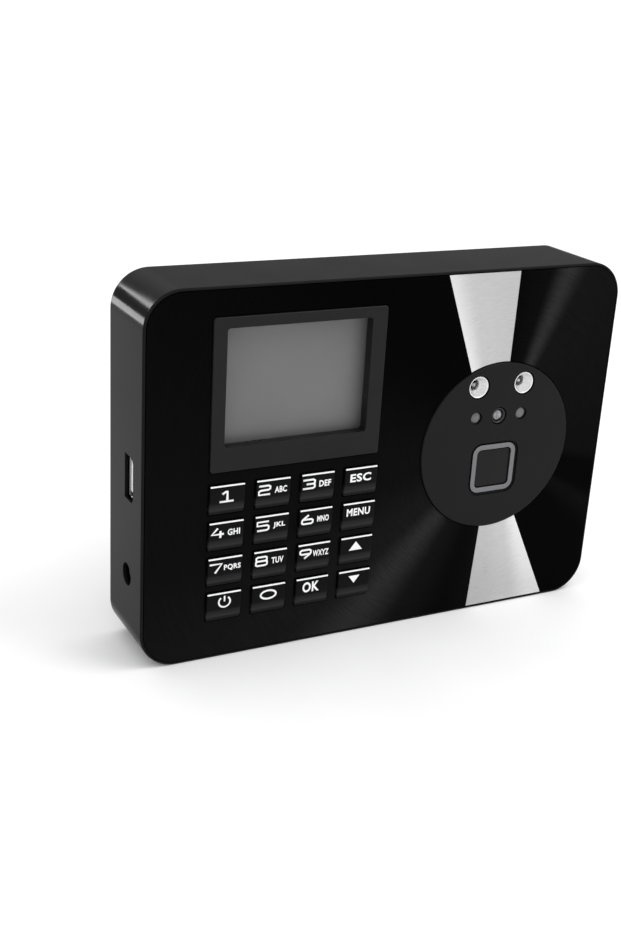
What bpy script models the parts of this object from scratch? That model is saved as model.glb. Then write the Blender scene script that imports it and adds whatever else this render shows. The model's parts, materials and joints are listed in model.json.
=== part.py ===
# A fingerprint and face time-attendance terminal: a flat black case that hangs on a wall.
# Metres, +Z up, front towards -Y, standing on its bottom edge at the origin.
# Each group of pieces hangs on an empty. In a group's own frame, x and z lie in the face
# and y is the depth behind the front rim of the case.

import math

import bmesh
import bpy

mm = 0.001

# Case
case_width = 175 * mm
case_height = 125 * mm
case_depth = 30 * mm
corner_radius = 12.5 * mm
wall = 2.4 * mm
lip = 0.8 * mm
edge_chamfer = 0.3 * mm
web = 1.8 * mm
cover_thickness = 2.4 * mm
clearance = 0.3 * mm
overshoot = 1 * mm  # how far a cutter runs past the wall it cuts

# Front panel and its two bright inlays
panel_thickness = 2 * mm
accent_thickness = 0.6 * mm
# the left and right edge of each inlay start under the disc: x and z from its centre, lean from upright
upper_edges = ((-9.4 * mm, 18.5 * mm, math.radians(-20)), (2.4 * mm, 18.5 * mm, math.radians(0.9)))
lower_edges = ((-2.2 * mm, -18.5 * mm, math.radians(-3.8)), (7.2 * mm, -18.5 * mm, math.radians(25.6)))

# Display, above the keypad and measured from the top edge of the case
display_from_top = 34.4 * mm
bezel_width = 60 * mm
bezel_height = 50 * mm
bezel_proud = 0.7 * mm
bezel_chamfer = 0.4 * mm
bezel_corner = 1 * mm
bezel_skirt = 1 * mm
bezel_skirt_wall = 2 * mm
window_width = 50 * mm
window_height = 38.2 * mm
window_offset_x = -0.45 * mm
window_offset_z = 2.35 * mm
window_thickness = 1 * mm
lcd_frame_border = 5 * mm
lcd_frame_depth = 4 * mm
lcd_frame_wall = 1.2 * mm
lcd_thickness = 1.8 * mm

# Keypad, to the right of the strip that the sockets take
key_columns = 4
key_rows = 4
key_width = 12 * mm
key_height = 10 * mm
key_gap_x = 4 * mm
key_gap_z = 2.5 * mm
socket_room = 3.6 * mm  # from the end of the USB socket to the keypad's board
key_proud = 1.2 * mm
key_slope = 0.8 * mm  # how much lower the cap's bottom edge is than its top
key_travel = 1 * mm
key_flange_border = 1.0 * mm
key_flange_thickness = 1 * mm
key_stem = 5 * mm
stem_engagement = 1 * mm
keypad_below_display = 4.2 * mm
mat_free_play = 0.6 * mm
mat_thickness = 2.9 * mm
mat_border = 0.8 * mm

# Sensor disc, at half the height of the case and to the right of a strip for the board's bosses
middle_strip = 12.7 * mm
disc_radius = 30 * mm
disc_proud = 0.6 * mm
disc_chamfer = 0.4 * mm
lamp_radius = 3.9 * mm
lamp_spacing = 18.4 * mm
lamp_above = 22 * mm
lamp_proud = 0.2 * mm
lamp_rim = 0.4 * mm
lamp_bowl_depth = 3.5 * mm
bowl_waist_depth = 1.925 * mm
bowl_waist_radius = 3.06 * mm
emitter_radius = 1.4 * mm
small_row_above = 11 * mm
ir_led_radius = 2.1 * mm
camera_radius = 2.8 * mm
camera_block = 8.5 * mm
camera_seat = 1.2 * mm
camera_flare = 0.3 * mm
lens_radius = 1.7 * mm
lens_dome = 0.75 * mm
finger_below = 8.2 * mm
ring_size = 17.6 * mm
ring_band = 1.8 * mm
ring_corner = 3.4 * mm
ring_proud = 0.3 * mm
ring_thickness = 2 * mm
ring_recess = 0.8 * mm
ring_recess_border = 1 * mm
finger_glass_drop = 0.6 * mm
finger_glass_thickness = 1.1 * mm
sensor_board_size = 46 * mm
sensor_board_depth = 9 * mm

# Boards and what fixes them
board_thickness = 1.6 * mm
post_radius = 0.9 * mm
post_tip = 0.8 * mm
board_edge = 3 * mm  # from a post's centre to the edge of its board
boss_radius = 3 * mm
board_boss_inset = 11.5 * mm
board_boss_from_top = 25 * mm
board_boss_low = 24 * mm
board_screw_length = 7 * mm
main_board_margin = 17 * mm
main_board_under_disc = 12 * mm
# the largest parts on the main board: width, height, x from the display's middle, z from the case's middle
board_blocks = (
    (16 * mm, 16 * mm, 12 * mm, 0), (9 * mm, 11 * mm, 34 * mm, -12 * mm),
    (20 * mm, 5 * mm, 0, -37.5 * mm), (7 * mm, 7 * mm, -27.5 * mm, 0),
)
board_block_height = 1.4 * mm
cover_boss_radius = 4 * mm
cover_boss_inset = 10 * mm
cover_screw_length = 12 * mm
counterbore_depth = 1.4 * mm
head_thickness = 0.9 * mm
cover_head_radius = 2.7 * mm
board_head_radius = 2.3 * mm
cover_shaft_radius = 1.1 * mm
board_shaft_radius = 0.9 * mm

# Sockets in the left wall
usb_depth = 11.7 * mm
usb_width = 14.5 * mm
usb_height = 7 * mm
usb_length = 12.6 * mm
usb_wall = 0.4 * mm
usb_setback = 1.5 * mm
usb_chamfer = 1.2 * mm
tongue_width = 11 * mm
tongue_height = 1.6 * mm
tongue_gap = 0.45 * mm  # behind the tongue, inside the shell
tongue_length = 9 * mm
tongue_base = 2.6 * mm
power_depth = 13.2 * mm
power_from_bottom = 28.8 * mm
power_hole_radius = 3.8 * mm
power_bore_radius = 3.2 * mm
power_bore_depth = 10 * mm
power_body_width = 9.6 * mm
power_body_length = 13 * mm
power_pin_radius = 1 * mm

# Rear cover
keyhole_spacing = 90 * mm
keyhole_above_middle = 22 * mm
keyhole_radius = 4.5 * mm
keyhole_slot_radius = 2.3 * mm
keyhole_slot_length = 9 * mm
grille_slots = 5
grille_pitch = 4.4 * mm
grille_slot_width = 2 * mm

# Speaker and clock cell
speaker_radius = 14 * mm
speaker_depth = 4.5 * mm
speaker_rim = 1.4 * mm
speaker_flange = 1.5 * mm
speaker_floor = 1 * mm
speaker_right_of_disc = 14 * mm
speaker_over_disc_edge = 4 * mm
magnet_radius = 7 * mm
magnet_depth = 2 * mm
cone_thickness = 0.5 * mm
cone_rim_drop = 0.5 * mm
cone_middle_drop = 1 * mm
cone_valley_drop = 1.6 * mm
cell_radius = 10 * mm
cell_thickness = 3.2 * mm
cell_edge = 0.8 * mm
cell_floor = 0.7 * mm
cell_grip = 2.4 * mm
cell_below_display = 2 * mm
holder_wall = 1.4 * mm

# Flat cables: where each starts from its group's middle, how far it runs, its width and its flat ends
ribbon_thickness = 0.3 * mm
display_ribbon = (-18 * mm, 26 * mm, 16 * mm, 7 * mm)
keypad_ribbon = (-14 * mm, 22 * mm, 12 * mm, 6 * mm)
keypad_ribbon_aside = 10 * mm
sensor_ribbon = (-12 * mm, -26 * mm, 10 * mm, 7 * mm)

# Places that follow from the sizes above
panel_back = panel_thickness
web_front = panel_back + clearance
web_back = web_front + web
cover_front = case_depth - cover_thickness
left_edge = -case_width / 2
right_edge = case_width / 2
middle_z = case_height / 2
case_front_y = key_proud / 2 - case_depth / 2
key_flange_front = web_back + clearance
key_flange_back = key_flange_front + key_flange_thickness
mat_front = key_flange_back + key_travel + mat_free_play
mat_back = mat_front + mat_thickness
keypad_board_front = mat_back + clearance
keypad_board_back = keypad_board_front + board_thickness
key_pitch_x = key_width + key_gap_x
key_pitch_z = key_height + key_gap_z
display_z = case_height - display_from_top
keypad_top = display_z - bezel_height / 2 - keypad_below_display
keypad_z = keypad_top - key_height / 2 - key_pitch_z * (key_rows - 1) / 2
key_field_width = key_pitch_x * (key_columns - 1) + key_width + 2 * key_flange_border
key_field_height = key_pitch_z * (key_rows - 1) + key_height + 2 * key_flange_border
keypad_post_x = key_field_width / 2 + mat_border + clearance + post_radius
keypad_post_z = key_field_height / 2 - board_edge
keypad_board_half = keypad_post_x + board_edge / 2
display_x = left_edge + usb_setback + usb_length + socket_room + keypad_board_half
strip_left = display_x + max(keypad_board_half, bezel_width / 2)
disc_x = strip_left + middle_strip + disc_radius
disc_z = middle_z
window_depth = panel_back + bezel_skirt + clearance
lcd_frame_front = max(window_depth + window_thickness, web_back) + clearance
lcd_frame_back = lcd_frame_front + lcd_frame_depth
main_board_front = usb_depth + usb_height / 2 + clearance
main_board_back = main_board_front + board_thickness
sensor_board_back = sensor_board_depth + board_thickness
component_end = sensor_board_depth - clearance

materials = {
    "black_case": ("1B1B1C", 0.0, 0.32),
    "black_panel": ("0B0B0C", 0.0, 0.08),
    "silver_inlay": ("C8C8C8", 1.0, 0.3),
    "dark_bezel": ("2A2A2B", 0.0, 0.4),
    "clear_window": ("8C8C8C", 0.0, 0.1),
    "screen": ("6F6F6F", 0.0, 0.3),
    "key_black": ("161617", 0.0, 0.25),
    "disc_grey": ("262627", 0.0, 0.5),
    "ring_grey": ("737373", 0.4, 0.4),
    "finger_glass": ("1D1D1E", 0.0, 0.2),
    "reflector": ("D0D0D0", 1.0, 0.2),
    "lens": ("E8E8E8", 0.0, 0.1),
    "ir_lens": ("6A6A6A", 0.0, 0.15),
    "camera_black": ("101011", 0.0, 0.3),
    "steel": ("B0B0B0", 1.0, 0.3),
    "board_green": ("1E5B35", 0.0, 0.4),
    "rubber_grey": ("8A8A8A", 0.0, 0.7),
    "inner_plastic": ("D9D9D6", 0.0, 0.4),
    "socket_black": ("141415", 0.0, 0.4),
    "ribbon": ("E6E2D6", 0.0, 0.5),
    "cone": ("2B2B2B", 0.0, 0.8),
}


def material(name):
    found = bpy.data.materials.get(name)
    if found:
        return found
    code, metallic, roughness = materials[name]
    made = bpy.data.materials.new(name)
    made.use_nodes = True
    shader = made.node_tree.nodes["Principled BSDF"]
    levels = [(int(code[i:i + 2], 16) / 255) ** 2.2 for i in (0, 2, 4)]
    shader.inputs["Base Color"].default_value = (*levels, 1)
    shader.inputs["Metallic"].default_value = metallic
    shader.inputs["Roughness"].default_value = roughness
    return made


def empty(name, location, turn=0.0):
    made = bpy.data.objects.new(name, None)
    made.location = location
    made.rotation_euler = (0, 0, turn)
    bpy.context.scene.collection.objects.link(made)
    return made


def place(name, shape, parent, finish):
    """Turns a bmesh into an object in its group's frame."""
    bmesh.ops.recalc_face_normals(shape, faces=shape.faces)
    mesh = bpy.data.meshes.new(name)
    shape.to_mesh(mesh)
    shape.free()
    mesh.shade_smooth()
    mesh.set_sharp_from_angle(angle=math.radians(30))
    made = bpy.data.objects.new(name, mesh)
    made.parent = parent
    bpy.context.scene.collection.objects.link(made)
    if finish:
        mesh.materials.append(material(finish))
    return made


def helper(name, shape, parent):
    made = place(name, shape, parent, None)
    made.hide_render = True
    made.display_type = "WIRE"
    return made


def boolean(target, tool, operation="DIFFERENCE"):
    modifier = target.modifiers.new(tool.name, "BOOLEAN")
    modifier.operation = operation
    modifier.object = tool


# Outlines are lists of (x, z) points


def rectangle(width, height, center=(0, 0)):
    x, z = width / 2, height / 2
    corners = ((-x, -z), (x, -z), (x, z), (-x, z))
    return [(center[0] + a, center[1] + b) for a, b in corners]


def rounded(width, height, radius, center=(0, 0), steps=4):
    points = []
    for quarter, (side_x, side_z) in enumerate(((1, 1), (-1, 1), (-1, -1), (1, -1))):
        arc_x = center[0] + side_x * (width / 2 - radius)
        arc_z = center[1] + side_z * (height / 2 - radius)
        for step in range(steps + 1):
            angle = math.pi / 2 * (quarter + step / steps)
            points.append((arc_x + radius * math.cos(angle), arc_z + radius * math.sin(angle)))
    return points


def case_outline(inset, steps=8):
    return rounded(case_width - 2 * inset, case_height - 2 * inset, corner_radius - inset,
                   (0, middle_z), steps)


def circle(radius, center=(0, 0), steps=24):
    angles = [2 * math.pi * step / steps for step in range(steps)]
    return [(center[0] + radius * math.cos(a), center[1] + radius * math.sin(a)) for a in angles]


def keyhole(center):
    """A round entry with a narrower slot above it, closed by a half circle."""
    start = math.asin(keyhole_slot_radius / keyhole_radius)
    sweep = 2 * math.pi - 2 * start
    points = []
    for step in range(17):
        angle = math.pi / 2 + start + sweep * step / 16
        points.append((keyhole_radius * math.cos(angle), keyhole_radius * math.sin(angle)))
    for step in range(9):
        angle = math.pi * step / 8
        points.append((keyhole_slot_radius * math.cos(angle),
                       keyhole_slot_length + keyhole_slot_radius * math.sin(angle)))
    return [(center[0] + x, center[1] + z) for x, z in points]


# Shapes are added to a bmesh


def stack(shape, sections):
    """A closed body through outlines of equal length, each at its own depth."""
    rings = []
    for outline, depth in sections:
        rings.append([shape.verts.new((x, depth, z)) for x, z in outline])
    for near, far in zip(rings, rings[1:]):
        for i in range(len(near)):
            shape.faces.new((near[i - 1], near[i], far[i], far[i - 1]))
    shape.faces.new(rings[0])
    shape.faces.new(rings[-1])


def prism(shape, outline, front, back):
    face = shape.faces.new([shape.verts.new((x, front, z)) for x, z in outline])
    extruded = bmesh.ops.extrude_face_region(shape, geom=[face])["geom"]
    moved = [item for item in extruded if isinstance(item, bmesh.types.BMVert)]
    bmesh.ops.translate(shape, verts=moved, vec=(0, back - front, 0))


def turned(shape, profile, center=(0, 0), steps=24):
    """A body of revolution about a depth axis, from (radius, depth) points."""
    verts = [shape.verts.new((center[0] + r, depth, center[1])) for r, depth in profile]
    edges = [shape.edges.new(pair) for pair in zip(verts, verts[1:])]
    if profile[0][0] > 0:
        edges.append(shape.edges.new((verts[-1], verts[0])))
    bmesh.ops.spin(shape, geom=verts + edges, cent=(center[0], 0, center[1]), axis=(0, 1, 0),
                   angle=2 * math.pi, steps=steps)
    bmesh.ops.remove_doubles(shape, verts=shape.verts, dist=1e-7)


def prisms(outlines, front, back):
    shape = bmesh.new()
    for outline in outlines:
        prism(shape, outline, front, back)
    return shape


def solid(name, outline, front, back, parent, finish):
    return place(name, prisms([outline], front, back), parent, finish)


def cut(target, name, outlines, front, back, parent):
    boolean(target, helper(name, prisms(outlines, front, back), parent))


def ribbon(name, path, width, middle, along, parent):
    """A flat cable: a path of (position, depth) points given a thickness and a width."""
    sides = []
    for side in (-0.5, 0.5):
        sides.append([(spot, depth + side * ribbon_thickness) for spot, depth in path])
    outline = sides[0] + sides[1][::-1]
    shape = bmesh.new()
    if along == "x":
        rings = [[shape.verts.new((p, d, middle + side)) for p, d in outline]
                 for side in (-width / 2, width / 2)]
    else:
        rings = [[shape.verts.new((middle + side, d, p)) for p, d in outline]
                 for side in (-width / 2, width / 2)]
    near, far = rings
    for i in range(len(near)):
        shape.faces.new((near[i - 1], near[i], far[i], far[i - 1]))
    half = len(path)
    for ring in rings:
        for i in range(half - 1):
            shape.faces.new((ring[i], ring[i + 1], ring[-2 - i], ring[-1 - i]))
    return place(name, shape, parent, "ribbon")


def s_bend(start, end, front, back, flat, steps=8):
    """A path that runs flat at one depth, eases over to another depth and runs flat again."""
    sign = 1 if end > start else -1
    points = [(start, front)]
    first, last = start + sign * flat, end - sign * flat
    for step in range(steps + 1):
        share = step / steps
        ease = share * share * (3 - 2 * share)
        points.append((first + (last - first) * share, front + (back - front) * ease))
    points.append((end, back))
    return points


def screw(name, center, head_back, head_radius, shaft_radius, length, parent):
    """A pan head with a driver recess on a plain shaft, its head towards the back."""
    head_front = head_back - head_thickness
    recess = head_radius * 0.45
    profile = [
        (0, head_front - length),
        (shaft_radius, head_front - length),
        (shaft_radius, head_front),
        (head_radius, head_front),
        (head_radius, head_back - head_thickness / 3),
        (head_radius * 0.8, head_back),
        (recess, head_back),
        (recess * 0.6, head_back - head_thickness * 0.6),
        (0, head_back - head_thickness * 0.6),
    ]
    shape = bmesh.new()
    turned(shape, profile, center, steps=12)
    return place(name, shape, parent, "steel")


# Layout shared by the pieces


def key_names():
    rows = (
        ("key_1", "key_2", "key_3", "key_esc"),
        ("key_4", "key_5", "key_6", "key_menu"),
        ("key_7", "key_8", "key_9", "key_up"),
        ("key_power", "key_0", "key_ok", "key_down"),
    )
    return [name for row in rows for name in row]


def key_centers():
    """Key centres in the keypad's frame, row by row from the top left."""
    centers = []
    for row in range(key_rows):
        for column in range(key_columns):
            centers.append(((column - (key_columns - 1) / 2) * key_pitch_x,
                            ((key_rows - 1) / 2 - row) * key_pitch_z))
    return centers


def four(x, z):
    return [(-x, -z), (x, -z), (x, z), (-x, z)]


def lamp_centers():
    return [(-lamp_spacing / 2, lamp_above), (lamp_spacing / 2, lamp_above)]


def ir_centers():
    return [(-lamp_spacing / 2, small_row_above), (lamp_spacing / 2, small_row_above)]


def board_boss_centers():
    left = left_edge + board_boss_inset
    right = strip_left + middle_strip / 2
    top = case_height - board_boss_from_top
    between_sockets = (power_from_bottom + middle_z) / 2
    return [(left, between_sockets), (right, board_boss_low), (right, top), (left, top)]


def cover_boss_centers():
    x = right_edge - cover_boss_inset
    return [(-x, cover_boss_inset), (x, cover_boss_inset),
            (x, case_height - cover_boss_inset), (-x, case_height - cover_boss_inset)]


def accent_outline(edges, grow):
    """The wedge between two straight edges that start under the disc and run off the panel.
    Each edge is (start x, start z, lean from vertical); grow moves both edges outwards."""
    reach = case_height
    points = []
    for side, (x, z, lean) in zip((-1, 1), edges):
        up = math.copysign(1, z)
        x = x + side * grow / math.cos(lean)
        points.append(((x, z), (x + reach * math.tan(lean), z + up * reach)))
    (left, left_far), (right, right_far) = points
    return [left, right, right_far, left_far]


# Pieces


def build_shell(groups):
    case, display, keypad, sensor = groups[:4]
    shape = bmesh.new()
    stack(shape, [(case_outline(edge_chamfer), 0), (case_outline(0), edge_chamfer),
                  (case_outline(0), case_depth - edge_chamfer),
                  (case_outline(edge_chamfer), case_depth)])
    shell = place("front_shell", shape, case, "black_case")
    cut(shell, "cavity_cutter", [case_outline(wall)], web_back, case_depth + overshoot, case)
    cut(shell, "panel_cutter", [case_outline(lip)], -overshoot, web_front, case)

    root = web_back - web / 3
    bosses = [circle(cover_boss_radius, c, 20) for c in cover_boss_centers()]
    boolean(shell, helper("cover_bosses", prisms(bosses, root, cover_front - clearance), case), "UNION")
    bosses = [circle(boss_radius, c, 16) for c in board_boss_centers()]
    boolean(shell, helper("board_bosses", prisms(bosses, root, main_board_front - clearance), case),
            "UNION")
    posts = [circle(post_radius, c, 10) for c in four(keypad_post_x, keypad_post_z)]
    boolean(shell, helper("keypad_posts", prisms(posts, root, keypad_board_back + post_tip), keypad),
            "UNION")
    posts = [circle(post_radius, c, 10) for c in sensor_posts()]
    boolean(shell, helper("sensor_posts", prisms(posts, root, sensor_board_back + post_tip), sensor),
            "UNION")

    pilot = cover_shaft_radius + clearance
    floor = cover_front - cover_screw_length - overshoot
    cut(shell, "cover_pilots", [circle(pilot, c, 16) for c in cover_boss_centers()],
        floor, cover_front, case)
    pilot = board_shaft_radius + clearance
    floor = main_board_front - board_screw_length - overshoot
    cut(shell, "board_pilots", [circle(pilot, c, 12) for c in board_boss_centers()],
        floor, main_board_front, case)

    skirt = window_outline(bezel_skirt_wall + clearance)
    cut(shell, "display_opening", [skirt], web_front - overshoot, web_back + overshoot, display)
    cut(shell, "key_openings", key_outlines(clearance), web_front - overshoot, web_back + overshoot,
        keypad)
    optics = rounded(lamp_spacing + 4 * lamp_radius, lamp_above - small_row_above + 4 * lamp_radius,
                     lamp_radius, (0, (lamp_above + small_row_above) / 2))
    finger = rounded(ring_size + 2 * clearance, ring_size + 2 * clearance, ring_corner,
                     (0, -finger_below))
    cut(shell, "sensor_openings", [finger], web_front - overshoot, web_back + overshoot, sensor)
    cut(shell, "optics_opening", [optics], web_front - overshoot, web_back + overshoot, sensor)
    cut_sockets(shell, groups[4], groups[5])
    return shell


def cut_sockets(shell, usb, power):
    cut(shell, "usb_slot", [usb_outline(clearance)], -overshoot, wall + overshoot, usb)
    cut(shell, "power_hole", [circle(power_hole_radius)], -overshoot, wall + overshoot, power)


def usb_outline(grow):
    """A rectangle with both corners on its front side cut off at an angle."""
    x, z = usb_height / 2 + grow, usb_width / 2 + grow
    chamfer = usb_chamfer + grow * (2 - math.sqrt(2))
    return [(-x, -z), (x - chamfer, -z), (x, chamfer - z), (x, z - chamfer), (x - chamfer, z), (-x, z)]


def sensor_posts():
    inset = sensor_board_size / 2 - board_edge
    return four(inset, inset)


def window_outline(grow):
    return rounded(window_width + 2 * grow, window_height + 2 * grow, bezel_corner,
                   (window_offset_x, window_offset_z), 2)


def bezel_outline(grow):
    return rounded(bezel_width + 2 * grow, bezel_height + 2 * grow, bezel_corner, (0, 0), 2)


def key_outlines(grow):
    width, height = key_width + 2 * grow, key_height + 2 * grow
    return [rectangle(width, height, c) for c in key_centers()]


def build_panel(groups):
    case, display, keypad, sensor = groups[:4]
    panel = solid("front_panel", case_outline(lip + clearance), 0, panel_thickness, case, "black_panel")
    through = (-overshoot, panel_thickness + overshoot)
    cut(panel, "bezel_opening", [bezel_outline(clearance)], *through, display)
    cut(panel, "panel_key_openings", key_outlines(clearance), *through, keypad)
    cut(panel, "disc_opening", [circle(disc_radius + clearance, steps=64)], *through, sensor)
    pocket = accent_thickness + clearance
    for name, edges in (("upper_accent", upper_edges), ("lower_accent", lower_edges)):
        cut(panel, name + "_pocket", [accent_outline(edges, clearance)], -overshoot, pocket, sensor)
        accent = solid(name, accent_outline(edges, 0), 0, accent_thickness, sensor, "silver_inlay")
        sheet = prisms([case_outline(lip + clearance)], -overshoot, accent_thickness + overshoot)
        boolean(accent, helper(name + "_limit", sheet, case), "INTERSECT")
        cut(accent, name + "_disc", [circle(disc_radius + clearance, steps=64)], *through, sensor)


def build_display(display):
    shape = bmesh.new()
    skirt = window_outline(bezel_skirt_wall)
    stack(shape, [(bezel_outline(-bezel_chamfer), -bezel_proud),
                  (bezel_outline(0), bezel_chamfer - bezel_proud), (bezel_outline(0), panel_back),
                  (skirt, panel_back), (skirt, panel_back + bezel_skirt)])
    bezel = place("display_bezel", shape, display, "dark_bezel")
    cut(bezel, "window_cutter", [window_outline(0)], -bezel_proud - overshoot,
        panel_back + bezel_skirt + overshoot, display)

    solid("display_window", window_outline(bezel_skirt_wall), window_depth,
          window_depth + window_thickness, display, "clear_window")
    frame = solid("lcd_frame", window_outline(lcd_frame_border), lcd_frame_front, lcd_frame_back,
                  display, "steel")
    pocket = lcd_frame_front + clearance + lcd_thickness + clearance
    cut(frame, "lcd_pocket", [window_outline(lcd_frame_border - lcd_frame_wall)],
        lcd_frame_front - overshoot, pocket, display)
    solid("lcd_panel", window_outline(lcd_frame_border - lcd_frame_wall - clearance),
          pocket - clearance - lcd_thickness, pocket - clearance, display, "screen")


def key_mesh():
    """One key: a stem, a flange that keeps the key in, and a cap with a sloping front."""
    levels = (-0.5, -0.3, -0.1, 0.1, 0.5)

    def ring(width, height, depth_at):
        up = [(-width / 2, level * height) for level in levels]
        down = [(width / 2, level * height) for level in reversed(levels)]
        return [(x, depth_at(z), z) for x, z in up + down]

    def flat(depth):
        return lambda z: depth

    def face(z):
        fall = max(0.0, levels[3] - z / key_height) / (levels[3] - levels[0])
        return key_slope * fall * fall - key_proud

    border = 2 * key_flange_border
    stem_end = mat_front + stem_engagement
    rings = [
        ring(key_stem, key_stem, flat(stem_end)),
        ring(key_stem, key_stem, flat(key_flange_back)),
        ring(key_width + border, key_height + border, flat(key_flange_back)),
        ring(key_width + border, key_height + border, flat(key_flange_front)),
        ring(key_width, key_height, flat(key_flange_front)),
        ring(key_width, key_height, face),
    ]
    shape = bmesh.new()
    rings = [[shape.verts.new(point) for point in points] for points in rings]
    for near, far in zip(rings, rings[1:]):
        for i in range(len(near)):
            shape.faces.new((near[i - 1], near[i], far[i], far[i - 1]))
    for end in (rings[0], rings[-1]):
        for i in range(len(levels) - 1):
            shape.faces.new((end[i], end[i + 1], end[-2 - i], end[-1 - i]))
    return shape


def build_keypad(keypad):
    first = place(key_names()[0], key_mesh(), keypad, "key_black")
    for name, (x, z) in zip(key_names(), key_centers()):
        key = first if name == first.name else bpy.data.objects.new(name, first.data)
        key.parent = keypad
        key.location = (x, 0, z)
        if key is not first:
            bpy.context.scene.collection.objects.link(key)

    mat = solid("keypad_mat", rectangle(key_field_width + 2 * mat_border,
                                        key_field_height + 2 * mat_border),
                mat_front, mat_back, keypad, "rubber_grey")
    well = key_stem + 2 * clearance
    cut(mat, "mat_wells", [rectangle(well, well, c) for c in key_centers()],
        mat_front - overshoot, mat_back + overshoot, keypad)

    board = solid("keypad_board", rectangle(2 * keypad_board_half, key_field_height),
                  keypad_board_front, keypad_board_back, keypad, "board_green")
    cut(board, "keypad_post_holes",
        [circle(post_radius + clearance, c, 12) for c in four(keypad_post_x, keypad_post_z)],
        keypad_board_front - overshoot, keypad_board_back + overshoot, keypad)


def build_sensor_disc(sensor):
    shape = bmesh.new()
    turned(shape, [(0, -disc_proud), (disc_radius - disc_chamfer, -disc_proud),
                   (disc_radius, disc_chamfer - disc_proud), (disc_radius, panel_back),
                   (0, panel_back)], steps=64)
    disc = place("sensor_disc", shape, sensor, "disc_grey")
    holes = [circle(lamp_radius + clearance, c) for c in lamp_centers()]
    holes += [circle(ir_led_radius + clearance, c, 16) for c in ir_centers()]
    holes.append(circle(camera_radius + clearance, (0, small_row_above), 20))
    size = ring_size + 2 * clearance
    holes.append(rounded(size, size, ring_corner + clearance, (0, -finger_below)))
    cut(disc, "disc_holes", holes, -disc_proud - overshoot, panel_back + overshoot, sensor)
    size = ring_size + 2 * ring_recess_border
    recess = rounded(size, size, ring_corner + ring_recess_border, (0, -finger_below))
    cut(disc, "ring_recess", [recess], -disc_proud - overshoot, ring_recess - disc_proud, sensor)


def build_lamps(sensor):
    front = -lamp_proud
    for side, center in zip(("left", "right"), lamp_centers()):
        hole = emitter_radius + clearance
        bowl = front + lamp_bowl_depth
        shape = bmesh.new()
        turned(shape, [(hole, component_end), (lamp_radius, component_end), (lamp_radius, front),
                       (lamp_radius - lamp_rim, front),
                       (bowl_waist_radius, front + bowl_waist_depth), (hole, bowl)], center)
        place("led_reflector_" + side, shape, sensor, "reflector")
        shape = bmesh.new()
        turned(shape, dome(emitter_radius, bowl - emitter_radius, component_end), center, 16)
        place("led_emitter_" + side, shape, sensor, "lens")

    for side, center in zip(("left", "right"), ir_centers()):
        shape = bmesh.new()
        turned(shape, dome(ir_led_radius, front, component_end), center, 16)
        place("ir_led_" + side, shape, sensor, "ir_lens")


def dome(radius, front, back, steps=4):
    """A profile with a half-round front end and a flat back end."""
    points = []
    for step in range(steps + 1):
        angle = math.pi / 2 * step / steps
        points.append((radius * math.sin(angle), front + radius * (1 - math.cos(angle))))
    return points + [(radius, back), (0, back)]


def build_camera(sensor):
    center = (0, small_row_above)
    front = -lamp_proud
    seat = front + camera_seat
    block_front = web_back + clearance
    shape = bmesh.new()
    hole = lens_radius + clearance
    turned(shape, [(0, seat), (hole, seat), (hole + camera_flare, front), (camera_radius, front),
                   (camera_radius, block_front + 1 * mm), (0, block_front + 1 * mm)], center, 20)
    module = place("camera_module", shape, sensor, "camera_black")
    block = prisms([rectangle(camera_block, camera_block, center)], block_front, component_end)
    boolean(module, helper("camera_block", block, sensor), "UNION")
    shape = bmesh.new()
    lens_back = seat - clearance
    turned(shape, [(0, lens_back), (lens_radius, lens_back),
                   (lens_radius * 0.98, lens_back - lens_dome * 0.27),
                   (lens_radius * 0.6, lens_back - lens_dome * 0.8), (0, lens_back - lens_dome)],
           center, 16)
    place("camera_lens", shape, sensor, "lens")


def build_finger_reader(sensor):
    center = (0, -finger_below)
    front = -ring_proud
    opening = ring_size - 2 * ring_band
    ring = solid("fingerprint_ring", rounded(ring_size, ring_size, ring_corner, center), front,
                 front + ring_thickness, sensor, "ring_grey")
    inner_corner = ring_corner - ring_band
    cut(ring, "ring_cutter", [rounded(opening, opening, inner_corner, center)], front - overshoot,
        front + ring_thickness + overshoot, sensor)
    glass = opening - 2 * clearance
    glass_front = front + finger_glass_drop
    solid("fingerprint_glass", rounded(glass, glass, inner_corner - clearance, center), glass_front,
          glass_front + finger_glass_thickness, sensor, "finger_glass")
    module_front = front + ring_thickness + clearance
    module = ring_size - 2 * clearance
    solid("fingerprint_module", rounded(module, module, ring_corner, center), module_front,
          component_end, sensor, "socket_black")


def build_sensor_board(sensor):
    outline = rounded(sensor_board_size, sensor_board_size, board_edge)
    board = solid("sensor_board", outline, sensor_board_depth, sensor_board_back, sensor, "board_green")
    cut(board, "sensor_post_holes", [circle(post_radius + clearance, c, 12) for c in sensor_posts()],
        sensor_board_depth - overshoot, sensor_board_back + overshoot, sensor)


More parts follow.
